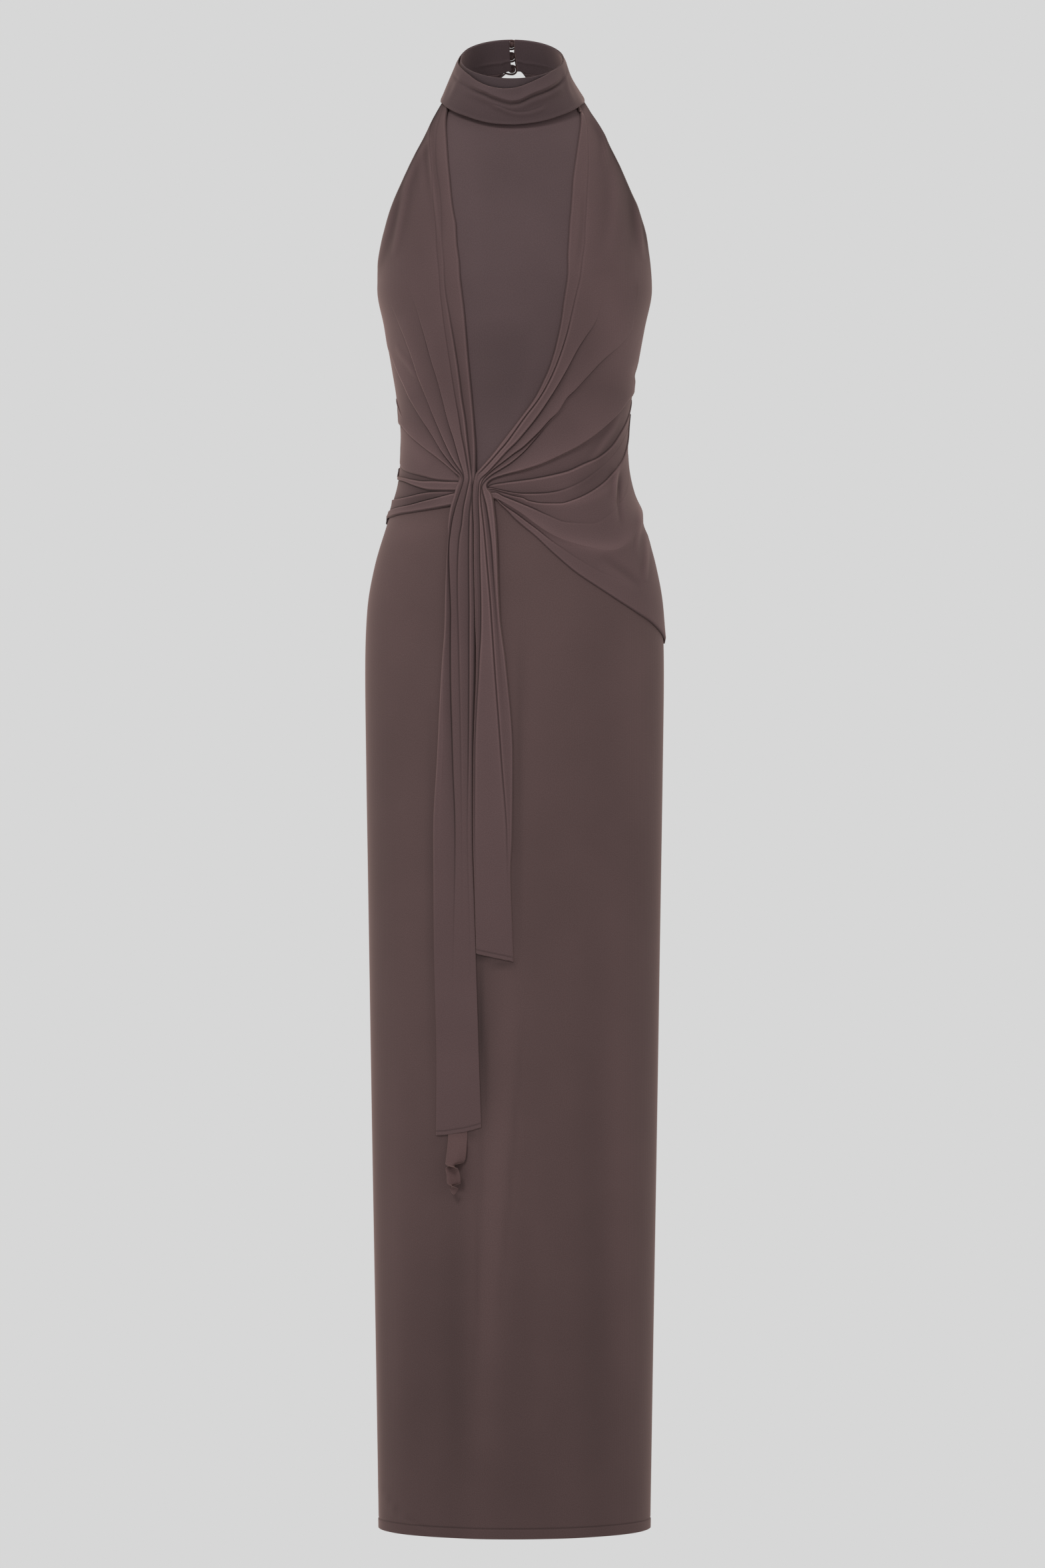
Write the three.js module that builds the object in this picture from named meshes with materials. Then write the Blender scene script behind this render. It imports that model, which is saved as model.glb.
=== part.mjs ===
import * as THREE from 'three';
import { mergeVertices } from 'three/addons/utils/BufferGeometryUtils.js';

// Sizes are in millimetres. The front faces -Y, X is to the right in the front view and Z is up.
// The origin is in the neck, level with the sides of the collar's base.
const BODY_CLOTH = 1.5; // wall of the bodice and the skirt
const DRAPE_CLOTH = 1.3; // wall of the drapes, the ties and the collar
const DRAPE_LIFT = 1.8; // air between the body and the drapes on it
const SEAM_GAP = 0.3; // between two pieces that are sewn together
const COLLAR_EASE = 1.6; // by which front and back each stop short of the collar's sides
const WAIST_SEAM_Z = -410; // hidden under the drapes in front

// Each section of the body is an arc, from its middle to its ends at the armhole or the side seam.
// Columns: height at the middle, height at the end, half width, depth at the middle, depth at the
// end, and the angle in degrees that the arc turns from the middle to the end.
const FRONT_SECTIONS = [
  [-25.5, 6, 67.5, -66, -6, 90],
  [-40, -8, 76, -74, -14, 88],
  [-66, -36, 91.5, -87, -32, 76],
  [-100, -78, 112.5, -101, -44, 68],
  [-134, -122, 131, -113, -38, 70],
  [-168, -164, 141.5, -121, -18, 82],
  [-200, -200, 144.5, -125, 0, 90],
  [-240, -240, 137, -123, 0, 90],
  [-285, -285, 128.5, -112, 0, 90],
  [-328, -328, 121, -100, 0, 90],
  [-368, -368, 118.5, -95, 0, 90],
  [-410, -410, 123, -98, 0, 90],
  [-452, -452, 136.5, -102, 0, 90],
  [-496, -496, 149.5, -105, 0, 90],
  [-545, -545, 157.5, -107, 0, 90],
  [-610, -610, 159.5, -108, 0, 90],
  [-720, -720, 158.2, -107, 0, 90],
  [-880, -880, 155.6, -105, 0, 90],
  [-1090, -1090, 152.2, -103, 0, 90],
  [-1310, -1310, 148.4, -101, 0, 90],
  [-1520, -1520, 145, -100, 0, 90],
];
const BACK_UPPER_SECTIONS = [
  [37.5, 6, 67.5, 53, -6, 90],
  [18, -8, 77, 64, 6, 86],
  [-12, -34, 88, 76, 24, 77],
  [-52, -66, 98, 88, 38, 69],
  [-100, -106, 117, 98, 45, 64],
  [-150, -152, 139, 102, 28, 74],
];
// Below the underarm the back has the front's heights and half widths, and these depths.
const BACK_DEPTHS = [100, 95, 87.5, 81, 78, 86, 97, 111, 121, 127, 119, 111, 107, 104, 102];

// The keyhole in the back is a drop, widest above its middle.
const KEYHOLE_TOP_Z = 41;
const KEYHOLE_BOTTOM_Z = -232;
const KEYHOLE_HALF = 45;
const KEYHOLE_ROUNDNESS = 0.62;

// Fold lines of the drapes, from the knot outwards. Columns: x and z at the knot, at two bends,
// then share of the front's half width and z at the far end, and the height of the fold that lies
// between this line and the next one, at the knot's side and at the far end.
const RIGHT_FOLDS = [
  [-39, -402, 22, -318, 52, -215, 0.79, -14, 0.7, 0.7],
  [-38, -404, 23, -323, 59, -214, 0.86, -11, 2.2, 1.0],
  [-37, -405, 27, -328, 65, -240, 1, -6, 2.4, 1.0],
  [-36, -406, 30, -333, 73, -262, 1, -45, 3.0, 1.0],
  [-34, -409, 25, -358, 79, -296, 1, -108, 3.0, 0.8],
  [-31, -410, 29, -366, 92, -310, 1, -180, 3.4, 0.8],
  [-29, -411, 17, -394, 90, -350, 1, -300, 3.6, 2.0],
  [-26, -413, 30, -403, 94, -377, 1, -318, 3.0, 1.4],
  [-25, -415, 20, -420, 79, -408, 1, -346, 2.6, 1.2],
  [-24, -417, 30, -432, 94, -414, 1, -375, 4.2, 1.4],
  [-22, -422, 30, -462, 97, -479, 1, -420, 3.4, 1.0],
  [-21, -425, 20, -468, 93, -509, 1, -490, 2.4, 0.4],
  [-19, -429, 16, -465, 83, -516, 1, -577, 0, 0],
];
const LEFT_FOLDS = [
  [-41, -404, -45, -310, -59, -168, -0.74, -12, 0.7, 0.7],
  [-44, -404, -51, -324, -64, -186, -0.82, -9, 2.2, 1.2],
  [-47, -404, -59, -294, -75, -199, -1, -4, 3.0, 0.8],
  [-50, -404, -67, -351, -90, -280, -1, -95, 3.2, 0.8],
  [-52, -404, -80, -351, -113, -264, -1, -165, 3.0, 0.8],
  [-54, -405, -88, -358, -122, -294, -1, -245, 3.0, 1.0],
  [-55, -406, -84, -380, -110, -352, -1, -318, 3.2, 1.4],
  [-56, -410, -80, -408, -105, -399, -1, -372, 3.4, 1.6],
  [-56, -418, -88, -419, -110, -414, -1, -402, 3.0, 1.8],
  [-56, -425, -93, -430, -118, -434, -1, -430, 2.4, 1.2],
  [-57, -435, -93, -441, -123, -446, -1, -462, 0, 0],
];
const FAN_COLUMNS = 14;
const FOLD_CREST = 0.2; // share of a fold's width where it is highest, after its steep side
const WIDEST_CUT = 24; // between two rows of a drape at its far end
const FAN_CROWDING = 1.1; // over 1 puts more of the columns near the knot

// Ties, from the knot down. Columns: z of the middle, air under the tie, height of its folds, how
// much its right edge is above its middle, then x of its left edge, of the valleys between its
// folds and of its right edge.
const LEFT_TIE_ROWS = [
  [-409, 4.6, 1.0, 0, -56, -52, -46, -43.5, -42, -41, -36.5],
  [-434, 4.8, 2.2, 0, -63.5, -59, -49, -44.6, -42.8, -41.8, -35.5],
  [-464, 4.6, 3.0, 0, -68.4, -65.6, -57, -48.8, -45, -42, -35.2],
  [-509, 4.0, 3.2, 0, -71.2, -69, -62.8, -56.5, -47.1, -41.2, -34.5],
  [-552, 4.0, 3.2, 0, -72.6, -70, -65.1, -58.6, -47.2, -41.5, -37],
  [-604, 3.4, 3.2, 0, -76.1, -72.6, -65.6, -59.3, -46.7, -43, -40.8],
  [-697, 3.2, 3.0, 0, -81, -74, -63.9, -57.2, -50, -46.5, -44],
  [-781, 3.2, 2.4, 0, -85.2, -76, -59.7, -55, -51, -47.5, -44.3],
  [-889, 3.2, 1.4, 0, -84.5, -75, -61, -54, -50, -45.5, -41.2],
  [-1007, 3.2, 0.9, 2, -81.7, -72, -60, -53, -47, -42, -37.7],
  [-1090, 3.4, 0.7, 4, -82.1, -72, -60, -52, -46, -40, -34.9],
];
const RIGHT_TIE_ROWS = [
  [-413, 5.0, 1.0, 0, -34.4, -33.4, -31.6, -30],
  [-427, 5.6, 2.0, 0, -34.2, -31.8, -26.5, -21.6],
  [-452, 5.8, 2.6, 0, -33.8, -29.3, -23.7, -18.8],
  [-495, 5.0, 2.8, 0, -33.5, -28.2, -23, -18.1],
  [-552, 4.8, 2.8, 0, -35.5, -31, -23.7, -14.6],
  [-604, 4.0, 2.8, 0, -39.1, -32.8, -20.5, -8.3],
  [-697, 3.8, 2.6, 0, -42.3, -32.8, -13.9, -1.3],
  [-781, 3.8, 2.0, 0, -42.6, -31.7, -9, -2.3],
  [-822, 3.8, 1.6, -2, -41.5, -31, -9.6, -4.1],
  [-908, 4.0, 1.0, -6, -39.4, -28, -12, -1.3],
];
const TIE_ROWS_CUT = 22;

// The end of the left tie curls under and twists as it hangs. Columns: z, x of its middle, depth
// in front of the skirt, width and the angle in degrees that it has turned.
const TAIL_ROWS = [
  [-1091.6, -59.7, 4.2, 20, 0],
  [-1105, -59.5, 6.5, 20, 12],
  [-1117, -59, 8.5, 19, 40],
  [-1124, -60.5, 10, 15, 100],
  [-1132, -61.5, 10, 13, 150],
  [-1141, -60, 10, 12, 200],
  [-1148, -62, 10, 9, 260],
  [-1156, -60, 10, 4, 300],
];
const TAIL_ROWS_CUT = 16;

// Rings of the collar, from the bottom up. Columns: half width, depth of the middle, half depth,
// height of the sides, how far the front is below them, and x of the middle.
const STAND_RINGS = [
  [67.5, -6, 59.5, 6.6, 31.5, 0],
  [60.5, -13, 59, 24, 29.5, -2],
  [54.5, -19, 56, 43.8, 27.7, -3],
];
const WRAP_RINGS = [
  [75.5, -7.5, 67.5, 0, 32, -1],
  [63.5, -13.5, 61.5, 22, 30, -3.5],
  [54.5, -19, 56, 43.8, 27.7, -3],
];
const COLLAR_OPENING = 7; // between its ends at the centre back
const COLLAR_COLUMNS = 44;
const WRAP_LIFT = 1.5; // air between the stand and the collar's outer layer
// Folds of the outer layer, from its lower edge up: share of its height, and height of the cloth
// over the rings there. The creases climb to the sides.
const WRAP_PROFILE = [
  [0, 1.6],
  [0.12, 3.4],
  [0.24, 3.8],
  [0.34, 2.6],
  [0.46, 4.6],
  [0.6, 3.6],
  [0.67, 1.4],
  [0.84, 2.4],
  [1, 0.2],
];
const WRAP_DIP = 0.25; // share of the collar's height that the outer layer stops short in front
const BUTTON_RADIUS = 3.8;
const BUTTON_PLACES = [0.2, 0.52, 0.84]; // shares of the collar's height
const LOOP_REACH = 10; // of a loop from its button to where it is sewn on
const LOOP_RADIUS = 1;

const JERSEY = { color: 0x5a4a4a, roughness: 0.9, metalness: 0 };
const SKIRT_JERSEY = { color: 0x554545, roughness: 0.9, metalness: 0 };
const COLLAR_JERSEY = { color: 0x4a3c3d, roughness: 0.9, metalness: 0 };
const TIE_JERSEY = { color: 0x5a4745, roughness: 0.88, metalness: 0 };
const BUTTON_CLOTH = { color: 0x54403f, roughness: 0.8, metalness: 0 };

const radians = (degrees) => (degrees * Math.PI) / 180;

function ease(from, to, value) {
  const share = Math.min(1, Math.max(0, (value - from) / (to - from)));
  return share * share * (3 - 2 * share);
}

// Slope of a curve at a row, from the steps to it and from it. It is level at a turning point.
function slopeAt(before, after) {
  const steepest = 2 * Math.min(Math.abs(before), Math.abs(after));
  const mean = Math.abs(before + after) / 2;
  return before * after <= 0 ? 0 : Math.sign(after) * Math.min(mean, steepest);
}

// A row of a table at a place between two of its rows, on a smooth curve through all of them.
function rowAt(rows, place) {
  const last = rows.length - 1;
  const at = Math.min(Math.max(place, 0), last);
  const i = Math.min(Math.floor(at), last - 1);
  const t = at - i;
  const before = rows[Math.max(i - 1, 0)];
  const after = rows[Math.min(i + 2, last)];
  return rows[i].map((value, column) => {
    const next = rows[i + 1][column];
    const step = next - value;
    const leave = i === 0 ? step : slopeAt(value - before[column], step);
    const arrive = i === last - 1 ? step : slopeAt(step, after[column] - next);
    const a = 2 * value - 2 * next + leave + arrive;
    const b = 3 * next - 3 * value - 2 * leave - arrive;
    return ((a * t + b) * t + leave) * t + value;
  });
}

// The outer face of the front or of the back of the body. A place on it is a share of the half
// width, from -1 to 1, and a level, which counts the sections down from the collar.
class BodySide {
  constructor(sections) {
    this.sections = sections;
  }

  point(share, level) {
    const [midZ, endZ, half, midY, endY, turn] = rowAt(this.sections, level);
    const angle = share * radians(turn);
    const fall = (1 - Math.cos(angle)) / (1 - Math.cos(radians(turn)));
    const x = (half * Math.sin(angle)) / Math.sin(radians(turn));
    return new THREE.Vector3(x, midY + (endY - midY) * fall, midZ + (endZ - midZ) * fall);
  }

  normal(share, level) {
    const safe = Math.min(Math.max(level, 0.01), this.sections.length - 1.01);
    const across = this.point(share + 0.01, safe).sub(this.point(share - 0.01, safe));
    const down = this.point(share, safe + 0.01).sub(this.point(share, safe - 0.01));
    const normal = across.cross(down).normalize();
    const point = this.point(share, safe);
    return normal.x * point.x + normal.y * point.y < 0 ? normal.negate() : normal;
  }

  raised(share, level, height) {
    return this.point(share, level).addScaledVector(this.normal(share, level), height);
  }

  levelAt(share, z) {
    let above = 0;
    let below = this.sections.length - 1;
    for (let step = 0; step < 40; step += 1) {
      const middle = (above + below) / 2;
      if (this.point(share, middle).z > z) {
        above = middle;
      } else {
        below = middle;
      }
    }
    return (above + below) / 2;
  }

  shareAt(x, level) {
    const [, , half, , , turn] = rowAt(this.sections, level);
    const sine = Math.min(1, Math.max(-1, (x / half) * Math.sin(radians(turn))));
    return Math.asin(sine) / radians(turn);
  }

  placeAt(x, z) {
    let share = 0;
    let level = this.levelAt(share, z);
    for (let step = 0; step < 25; step += 1) {
      share = this.shareAt(x, level);
      level = this.levelAt(share, z);
    }
    return [share, level];
  }

  endShare(level) {
    const [, , half, , , turn] = rowAt(this.sections, level);
    const gap = SEAM_GAP / 2 + COLLAR_EASE * Math.max(0, 1 - level);
    return 1 - gap / (half * radians(turn));
  }
}

const lowerBack = FRONT_SECTIONS.slice(BACK_UPPER_SECTIONS.length).map((section, i) => {
  const [midZ, endZ, half, , endY, turn] = section;
  return [midZ, endZ, half, BACK_DEPTHS[i], endY, turn];
});
const front = new BodySide(FRONT_SECTIONS);
const back = new BodySide([...BACK_UPPER_SECTIONS, ...lowerBack]);
const waistLevel = front.levelAt(0, WAIST_SEAM_Z);
const hemLevel = FRONT_SECTIONS.length - 1;
const dress = new THREE.Group();
dress.name = 'halter_dress';

function add(name, geometry, finish) {
  const mesh = new THREE.Mesh(geometry, new THREE.MeshStandardMaterial(finish));
  mesh.name = name;
  dress.add(mesh);
}

function volume(points, faces) {
  const total = faces.reduce((sum, [a, b, c]) => {
    const cross = points[b].clone().cross(points[c]);
    return sum + points[a].dot(cross);
  }, 0);
  return total / 6;
}

// A closed wall over a grid of places. facesAt(column, row) gives its outer and its inner point.
function addWall(name, columns, rows, facesAt, finish) {
  const outer = [];
  const inner = [];
  for (let row = 0; row <= rows; row += 1) {
    for (let column = 0; column <= columns; column += 1) {
      const pair = facesAt(column, row);
      outer.push(pair[0]);
      inner.push(pair[1]);
    }
  }
  const points = [...outer, ...inner];
  const faces = [];
  const quad = (a, b, c, d) => faces.push([a, b, c], [a, c, d]);
  const at = (column, row) => row * (columns + 1) + column;
  const under = (column, row) => outer.length + at(column, row);
  for (let row = 0; row < rows; row += 1) {
    for (let column = 0; column < columns; column += 1) {
      const right = column + 1;
      const below = row + 1;
      quad(at(column, row), at(right, row), at(right, below), at(column, below));
      quad(under(column, row), under(column, below), under(right, below), under(right, row));
    }
  }
  for (let column = 0; column < columns; column += 1) {
    const right = column + 1;
    quad(at(right, 0), at(column, 0), under(column, 0), under(right, 0));
    quad(at(column, rows), at(right, rows), under(right, rows), under(column, rows));
  }
  for (let row = 0; row < rows; row += 1) {
    const below = row + 1;
    quad(at(0, row), at(0, below), under(0, below), under(0, row));
    quad(at(columns, below), at(columns, row), under(columns, row), under(columns, below));
  }
  const turned = volume(points, faces) < 0;
  const index = faces.flatMap(([a, b, c]) => (turned ? [a, c, b] : [a, b, c]));
  const geometry = new THREE.BufferGeometry().setFromPoints(points);
  geometry.setIndex(index);
  geometry.computeVertexNormals();
  add(name, geometry, finish);
}

// A panel of the body between two levels. edges(level) gives its shares of the width.
function addPanel(name, side, topLevel, bottomLevel, columns, rows, edges, finish) {
  addWall(name, columns, rows, (column, row) => {
    const level = topLevel + ((bottomLevel - topLevel) * row) / rows;
    const [from, to] = edges(level);
    const share = from + ((to - from) * column) / columns;
    return [side.point(share, level), side.raised(share, level, -BODY_CLOTH)];
  }, finish);
}

function keyholeHalf(z) {
  const share = (KEYHOLE_TOP_Z - z) / (KEYHOLE_TOP_Z - KEYHOLE_BOTTOM_Z);
  const half = share < 1 ? KEYHOLE_HALF * Math.sin(Math.PI * share ** KEYHOLE_ROUNDNESS) : 0;
  return Math.max(half, SEAM_GAP / 2);
}

function addBody() {
  const gapInLevels = front.levelAt(0, WAIST_SEAM_Z - SEAM_GAP) - waistLevel;
  const skirtTop = waistLevel + gapInLevels;
  const wholeFront = (level) => [-front.endShare(level), front.endShare(level)];
  const wholeBack = (level) => [-back.endShare(level), back.endShare(level)];
  addPanel('bodice_front', front, 0, waistLevel, 18, 16, wholeFront, JERSEY);
  for (const [name, side] of [['bodice_back_left', -1], ['bodice_back_right', 1]]) {
    const halfBack = (level) => {
      const inner = back.shareAt(keyholeHalf(back.point(0, level).z), level);
      return [side * inner, side * back.endShare(level)];
    };
    addPanel(name, back, 0, waistLevel, 7, 18, halfBack, JERSEY);
  }
  addPanel('skirt_front', front, skirtTop, hemLevel, 20, 14, wholeFront, SKIRT_JERSEY);
  addPanel('skirt_back', back, skirtTop, hemLevel, 20, 14, wholeBack, SKIRT_JERSEY);
}

// A curve through the places of a fold, with the length of cloth between them as its measure.
function foldCurve(fold) {
  const [x0, z0, x1, z1, x2, z2, endShare, endZ] = fold;
  const places = [[x0, z0], [x1, z1], [x2, z2]].map(([x, z]) => front.placeAt(x, z));
  const edge = Math.sign(endShare) * Math.min(Math.abs(endShare), front.endShare(6));
  places.push([edge, front.levelAt(edge, endZ)]);
  const points = places.map(([share, level]) => front.point(share, level));
  const lengths = [0];
  for (let i = 1; i < points.length; i += 1) {
    lengths.push(lengths[i - 1] + points[i].distanceTo(points[i - 1]));
  }
  const knots = lengths.map((length) => length / lengths[3]);
  return (u) => {
    const weights = knots.map((knot, i) => knots.reduce((weight, other, j) => {
      return j === i ? weight : (weight * (u - other)) / (knot - other);
    }, 1));
    return [0, 1].map((axis) => weights.reduce((sum, weight, i) => {
      return sum + weight * places[i][axis];
    }, 0));
  };
}

// A fold rises steeply from its first line and falls slowly to the next one.
function foldProfile(share) {
  const falling = Math.cos(((share - FOLD_CREST) / (1 - FOLD_CREST)) * (Math.PI / 2));
  return share < FOLD_CREST ? share / FOLD_CREST : falling;
}

// The rows of a drape, each with its fold and its share of that fold's width.
function fanRows(curves) {
  const rows = [];
  for (let fold = 0; fold < curves.length - 1; fold += 1) {
    const ends = [curves[fold](1), curves[fold + 1](1)].map((place) => front.point(...place));
    const cuts = Math.max(2, Math.ceil(ends[0].distanceTo(ends[1]) / WIDEST_CUT));
    rows.push([fold, 0]);
    for (let cut = 0; cut < cuts; cut += 1) {
      rows.push([fold, FOLD_CREST + ((1 - FOLD_CREST) * cut) / cuts]);
    }
  }
  return [...rows, [curves.length - 2, 1]];
}

function addFan(name, folds, finish) {
  const curves = folds.map(foldCurve);
  const rows = fanRows(curves);
  addWall(name, FAN_COLUMNS, rows.length - 1, (column, row) => {
    const [fold, share] = rows[row];
    const u = (column / FAN_COLUMNS) ** FAN_CROWDING;
    const from = curves[fold](u);
    const to = curves[fold + 1](u);
    const limit = front.endShare(6);
    const width = Math.min(limit, Math.max(-limit, from[0] + (to[0] - from[0]) * share));
    const level = from[1] + (to[1] - from[1]) * share;
    const [nearHeight, farHeight] = folds[fold].slice(8);
    const grown = nearHeight + (farHeight - nearHeight) * ease(0.35, 1, u);
    const height = DRAPE_LIFT + grown * ease(-0.06, 0.2, u) * foldProfile(share);
    return [front.raised(width, level, height + DRAPE_CLOTH), front.raised(width, level, height)];
  }, finish);
}

function addTie(name, rows, finish) {
  const strips = rows[0].length - 5;
  addWall(name, strips * 2, TIE_ROWS_CUT, (column, row) => {
    const cut = rowAt(rows, (row / TIE_ROWS_CUT) * (rows.length - 1));
    const [z, lift, foldHeight, slant] = cut;
    const edges = cut.slice(4);
    const strip = Math.min(Math.floor(column / 2), strips - 1);
    const share = column / 2 - strip;
    const x = edges[strip] + (edges[strip + 1] - edges[strip]) * share;
    const across = (2 * (x - edges[0])) / (edges[strips] - edges[0]) - 1;
    const [width, level] = front.placeAt(x, z + slant * across);
    const height = lift + foldHeight * Math.sin(Math.PI * share);
    return [front.raised(width, level, height + DRAPE_CLOTH), front.raised(width, level, height)];
  }, finish);
}

function addTail() {
  addWall('tie_left_tail', 3, TAIL_ROWS_CUT, (column, row) => {
    const [z, x, depth, width, turn] = rowAt(TAIL_ROWS, (row / TAIL_ROWS_CUT) * (TAIL_ROWS.length - 1));
    const [share, level] = front.placeAt(x, z);
    const middle = front.raised(share, level, depth);
    const along = new THREE.Vector3(Math.cos(radians(turn)), Math.sin(radians(turn)), 0);
    const out = new THREE.Vector3(along.y, -along.x, 0);
    const point = middle.addScaledVector(along, width * (column / 3 - 0.5));
    const half = DRAPE_CLOTH / 2;
    return [point.clone().addScaledVector(out, half), point.clone().addScaledVector(out, -half)];
  }, TIE_JERSEY);
}

// A place on the collar: its angle from the centre front, and a share of its height.
function ringPoint(rings, angle, share, height) {
  const at = (turn, place) => {
    const [half, midY, deep, sideZ, drop, midX] = rowAt(rings, place * (rings.length - 1));
    const cosine = Math.cos(turn);
    const x = midX + half * Math.sin(turn);
    return new THREE.Vector3(x, midY - deep * cosine, sideZ - drop * cosine);
  };
  const safe = Math.min(Math.max(share, 0.01), 0.99);
  const around = at(angle + 0.01, safe).sub(at(angle - 0.01, safe));
  const up = at(angle, safe + 0.01).sub(at(angle, safe - 0.01));
  return at(angle, share).addScaledVector(around.cross(up).normalize(), height);
}

function collarAngle(column) {
  const half = Math.PI - COLLAR_OPENING / 2 / WRAP_RINGS[1][2];
  return half * ((2 * column) / COLLAR_COLUMNS - 1);
}

function addCollar() {
  addWall('collar_stand', COLLAR_COLUMNS, 4, (column, row) => {
    const angle = collarAngle(column);
    const share = row / 4;
    return [
      ringPoint(STAND_RINGS, angle, share, 0),
      ringPoint(STAND_RINGS, angle, share, -DRAPE_CLOTH),
    ];
  }, COLLAR_JERSEY);
  addWall('collar_drape', COLLAR_COLUMNS, WRAP_PROFILE.length - 1, (column, row) => {
    const angle = collarAngle(column);
    const [place, height] = WRAP_PROFILE[row];
    const side = ease(0, radians(75), Math.abs(angle));
    const top = 1 - WRAP_DIP * (1 - side);
    const climbed = place + 0.12 * side * Math.sin(Math.PI * place);
    const flat = ease(radians(30), radians(130), Math.abs(angle));
    const lift = WRAP_LIFT + (SEAM_GAP - WRAP_LIFT) * ease(0.85, 1, place);
    const raised = lift + height * (1 - flat);
    return [
      ringPoint(WRAP_RINGS, angle, climbed * top, raised + DRAPE_CLOTH),
      ringPoint(WRAP_RINGS, angle, climbed * top, raised),
    ];
  }, JERSEY);
}

function addClosed(name, geometry, finish) {
  geometry.deleteAttribute('uv');
  geometry.deleteAttribute('normal');
  const closed = mergeVertices(geometry, 1e-4);
  closed.computeVertexNormals();
  add(name, closed, finish);
}

// Each button sits in the opening of the collar, and its loop runs round it on the collar's face.
function addFastening() {
  const face = WRAP_LIFT + DRAPE_CLOTH;
  const held = COLLAR_OPENING / 2 - SEAM_GAP;
  const sunk = Math.sqrt(BUTTON_RADIUS ** 2 - held ** 2);
  const round = BUTTON_RADIUS + LOOP_RADIUS + SEAM_GAP;
  BUTTON_PLACES.forEach((share, i) => {
    const middle = ringPoint(WRAP_RINGS, Math.PI, share, face + sunk);
    const out = middle.clone().sub(ringPoint(WRAP_RINGS, Math.PI, share, 0)).normalize();
    const up = new THREE.Vector3().crossVectors(out, new THREE.Vector3(1, 0, 0));
    const ball = new THREE.SphereGeometry(BUTTON_RADIUS, 14, 8);
    ball.translate(middle.x, middle.y, middle.z);
    addClosed(`button_${i + 1}`, ball, BUTTON_CLOTH);
    const loopMiddle = ringPoint(WRAP_RINGS, Math.PI, share, face + SEAM_GAP + LOOP_RADIUS);
    const places = Array.from({ length: 16 }, (_, step) => {
      const angle = (step / 16) * 2 * Math.PI;
      const reach = Math.cos(angle) < 0 ? LOOP_REACH : round;
      const point = loopMiddle.clone().addScaledVector(up, round * Math.sin(angle));
      return point.add(new THREE.Vector3(reach * Math.cos(angle), 0, 0));
    });
    const path = new THREE.CatmullRomCurve3(places, true);
    addClosed(`loop_${i + 1}`, new THREE.TubeGeometry(path, 16, LOOP_RADIUS, 5, true), TIE_JERSEY);
  });
}

addBody();
addFan('drape_right', RIGHT_FOLDS, JERSEY);
addFan('drape_left', LEFT_FOLDS, JERSEY);
addTie('tie_left', LEFT_TIE_ROWS, TIE_JERSEY);
addTie('tie_right', RIGHT_TIE_ROWS, TIE_JERSEY);
addTail();
addCollar();
addFastening();

export default dress;
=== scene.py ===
"""Draped jersey halter dress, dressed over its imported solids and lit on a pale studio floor."""

import logging
import math
from collections.abc import Callable, Sequence
from dataclasses import dataclass, field
from enum import Enum

import bpy
import numpy as np
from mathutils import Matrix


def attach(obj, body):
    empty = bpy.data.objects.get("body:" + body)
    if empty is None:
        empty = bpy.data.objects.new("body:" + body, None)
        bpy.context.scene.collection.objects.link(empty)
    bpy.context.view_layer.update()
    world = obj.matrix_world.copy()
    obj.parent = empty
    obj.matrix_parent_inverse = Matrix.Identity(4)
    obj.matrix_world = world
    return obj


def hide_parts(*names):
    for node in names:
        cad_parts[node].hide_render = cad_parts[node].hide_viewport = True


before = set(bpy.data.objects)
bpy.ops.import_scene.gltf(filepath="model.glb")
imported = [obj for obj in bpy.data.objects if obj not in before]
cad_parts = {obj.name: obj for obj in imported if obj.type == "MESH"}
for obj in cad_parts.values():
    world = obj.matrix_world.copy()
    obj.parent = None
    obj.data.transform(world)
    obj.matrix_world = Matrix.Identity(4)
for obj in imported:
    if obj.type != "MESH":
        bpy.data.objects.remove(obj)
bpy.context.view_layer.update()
LOG = logging.getLogger("halter_dress")
MM = 0.001
BODY = "root"

# Sections of the body from the collar down, in millimetres, as in the part's source: height at the
# middle and at the end, half width, depth at the middle and at the end, and the arc's angle.
MIDDLE_Z, END_Z, HALF_WIDTH, MIDDLE_Y, END_Y, TURN = range(6)
FRONT_SECTIONS = (
    (-25.5, 6, 67.5, -66, -6, 90),
    (-40, -8, 76, -74, -14, 88),
    (-66, -36, 91.5, -87, -32, 76),
    (-100, -78, 112.5, -101, -44, 68),
    (-134, -122, 131, -113, -38, 70),
    (-168, -164, 141.5, -121, -18, 82),
    (-200, -200, 144.5, -125, 0, 90),
    (-240, -240, 137, -123, 0, 90),
    (-285, -285, 128.5, -112, 0, 90),
    (-328, -328, 121, -100, 0, 90),
    (-368, -368, 118.5, -95, 0, 90),
    (-410, -410, 123, -98, 0, 90),
    (-452, -452, 136.5, -102, 0, 90),
    (-496, -496, 149.5, -105, 0, 90),
    (-545, -545, 157.5, -107, 0, 90),
    (-610, -610, 159.5, -108, 0, 90),
    (-720, -720, 158.2, -107, 0, 90),
    (-880, -880, 155.6, -105, 0, 90),
    (-1090, -1090, 152.2, -103, 0, 90),
    (-1310, -1310, 148.4, -101, 0, 90),
    (-1520, -1520, 145, -100, 0, 90),
)
BACK_UPPER_SECTIONS = (
    (37.5, 6, 67.5, 53, -6, 90),
    (18, -8, 77, 64, 6, 86),
    (-12, -34, 88, 76, 24, 77),
    (-52, -66, 98, 88, 38, 69),
    (-100, -106, 117, 98, 45, 64),
    (-150, -152, 139, 102, 28, 74),
)
# The back's middle depths from the underarm down; the rest is as in front.
BACK_DEPTHS = (100, 95, 87.5, 81, 78, 86, 97, 111, 121, 127, 119, 111, 107, 104, 102)
WAIST_SEAM_Z = -410.0
SEAM_GAP = 0.3
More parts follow.
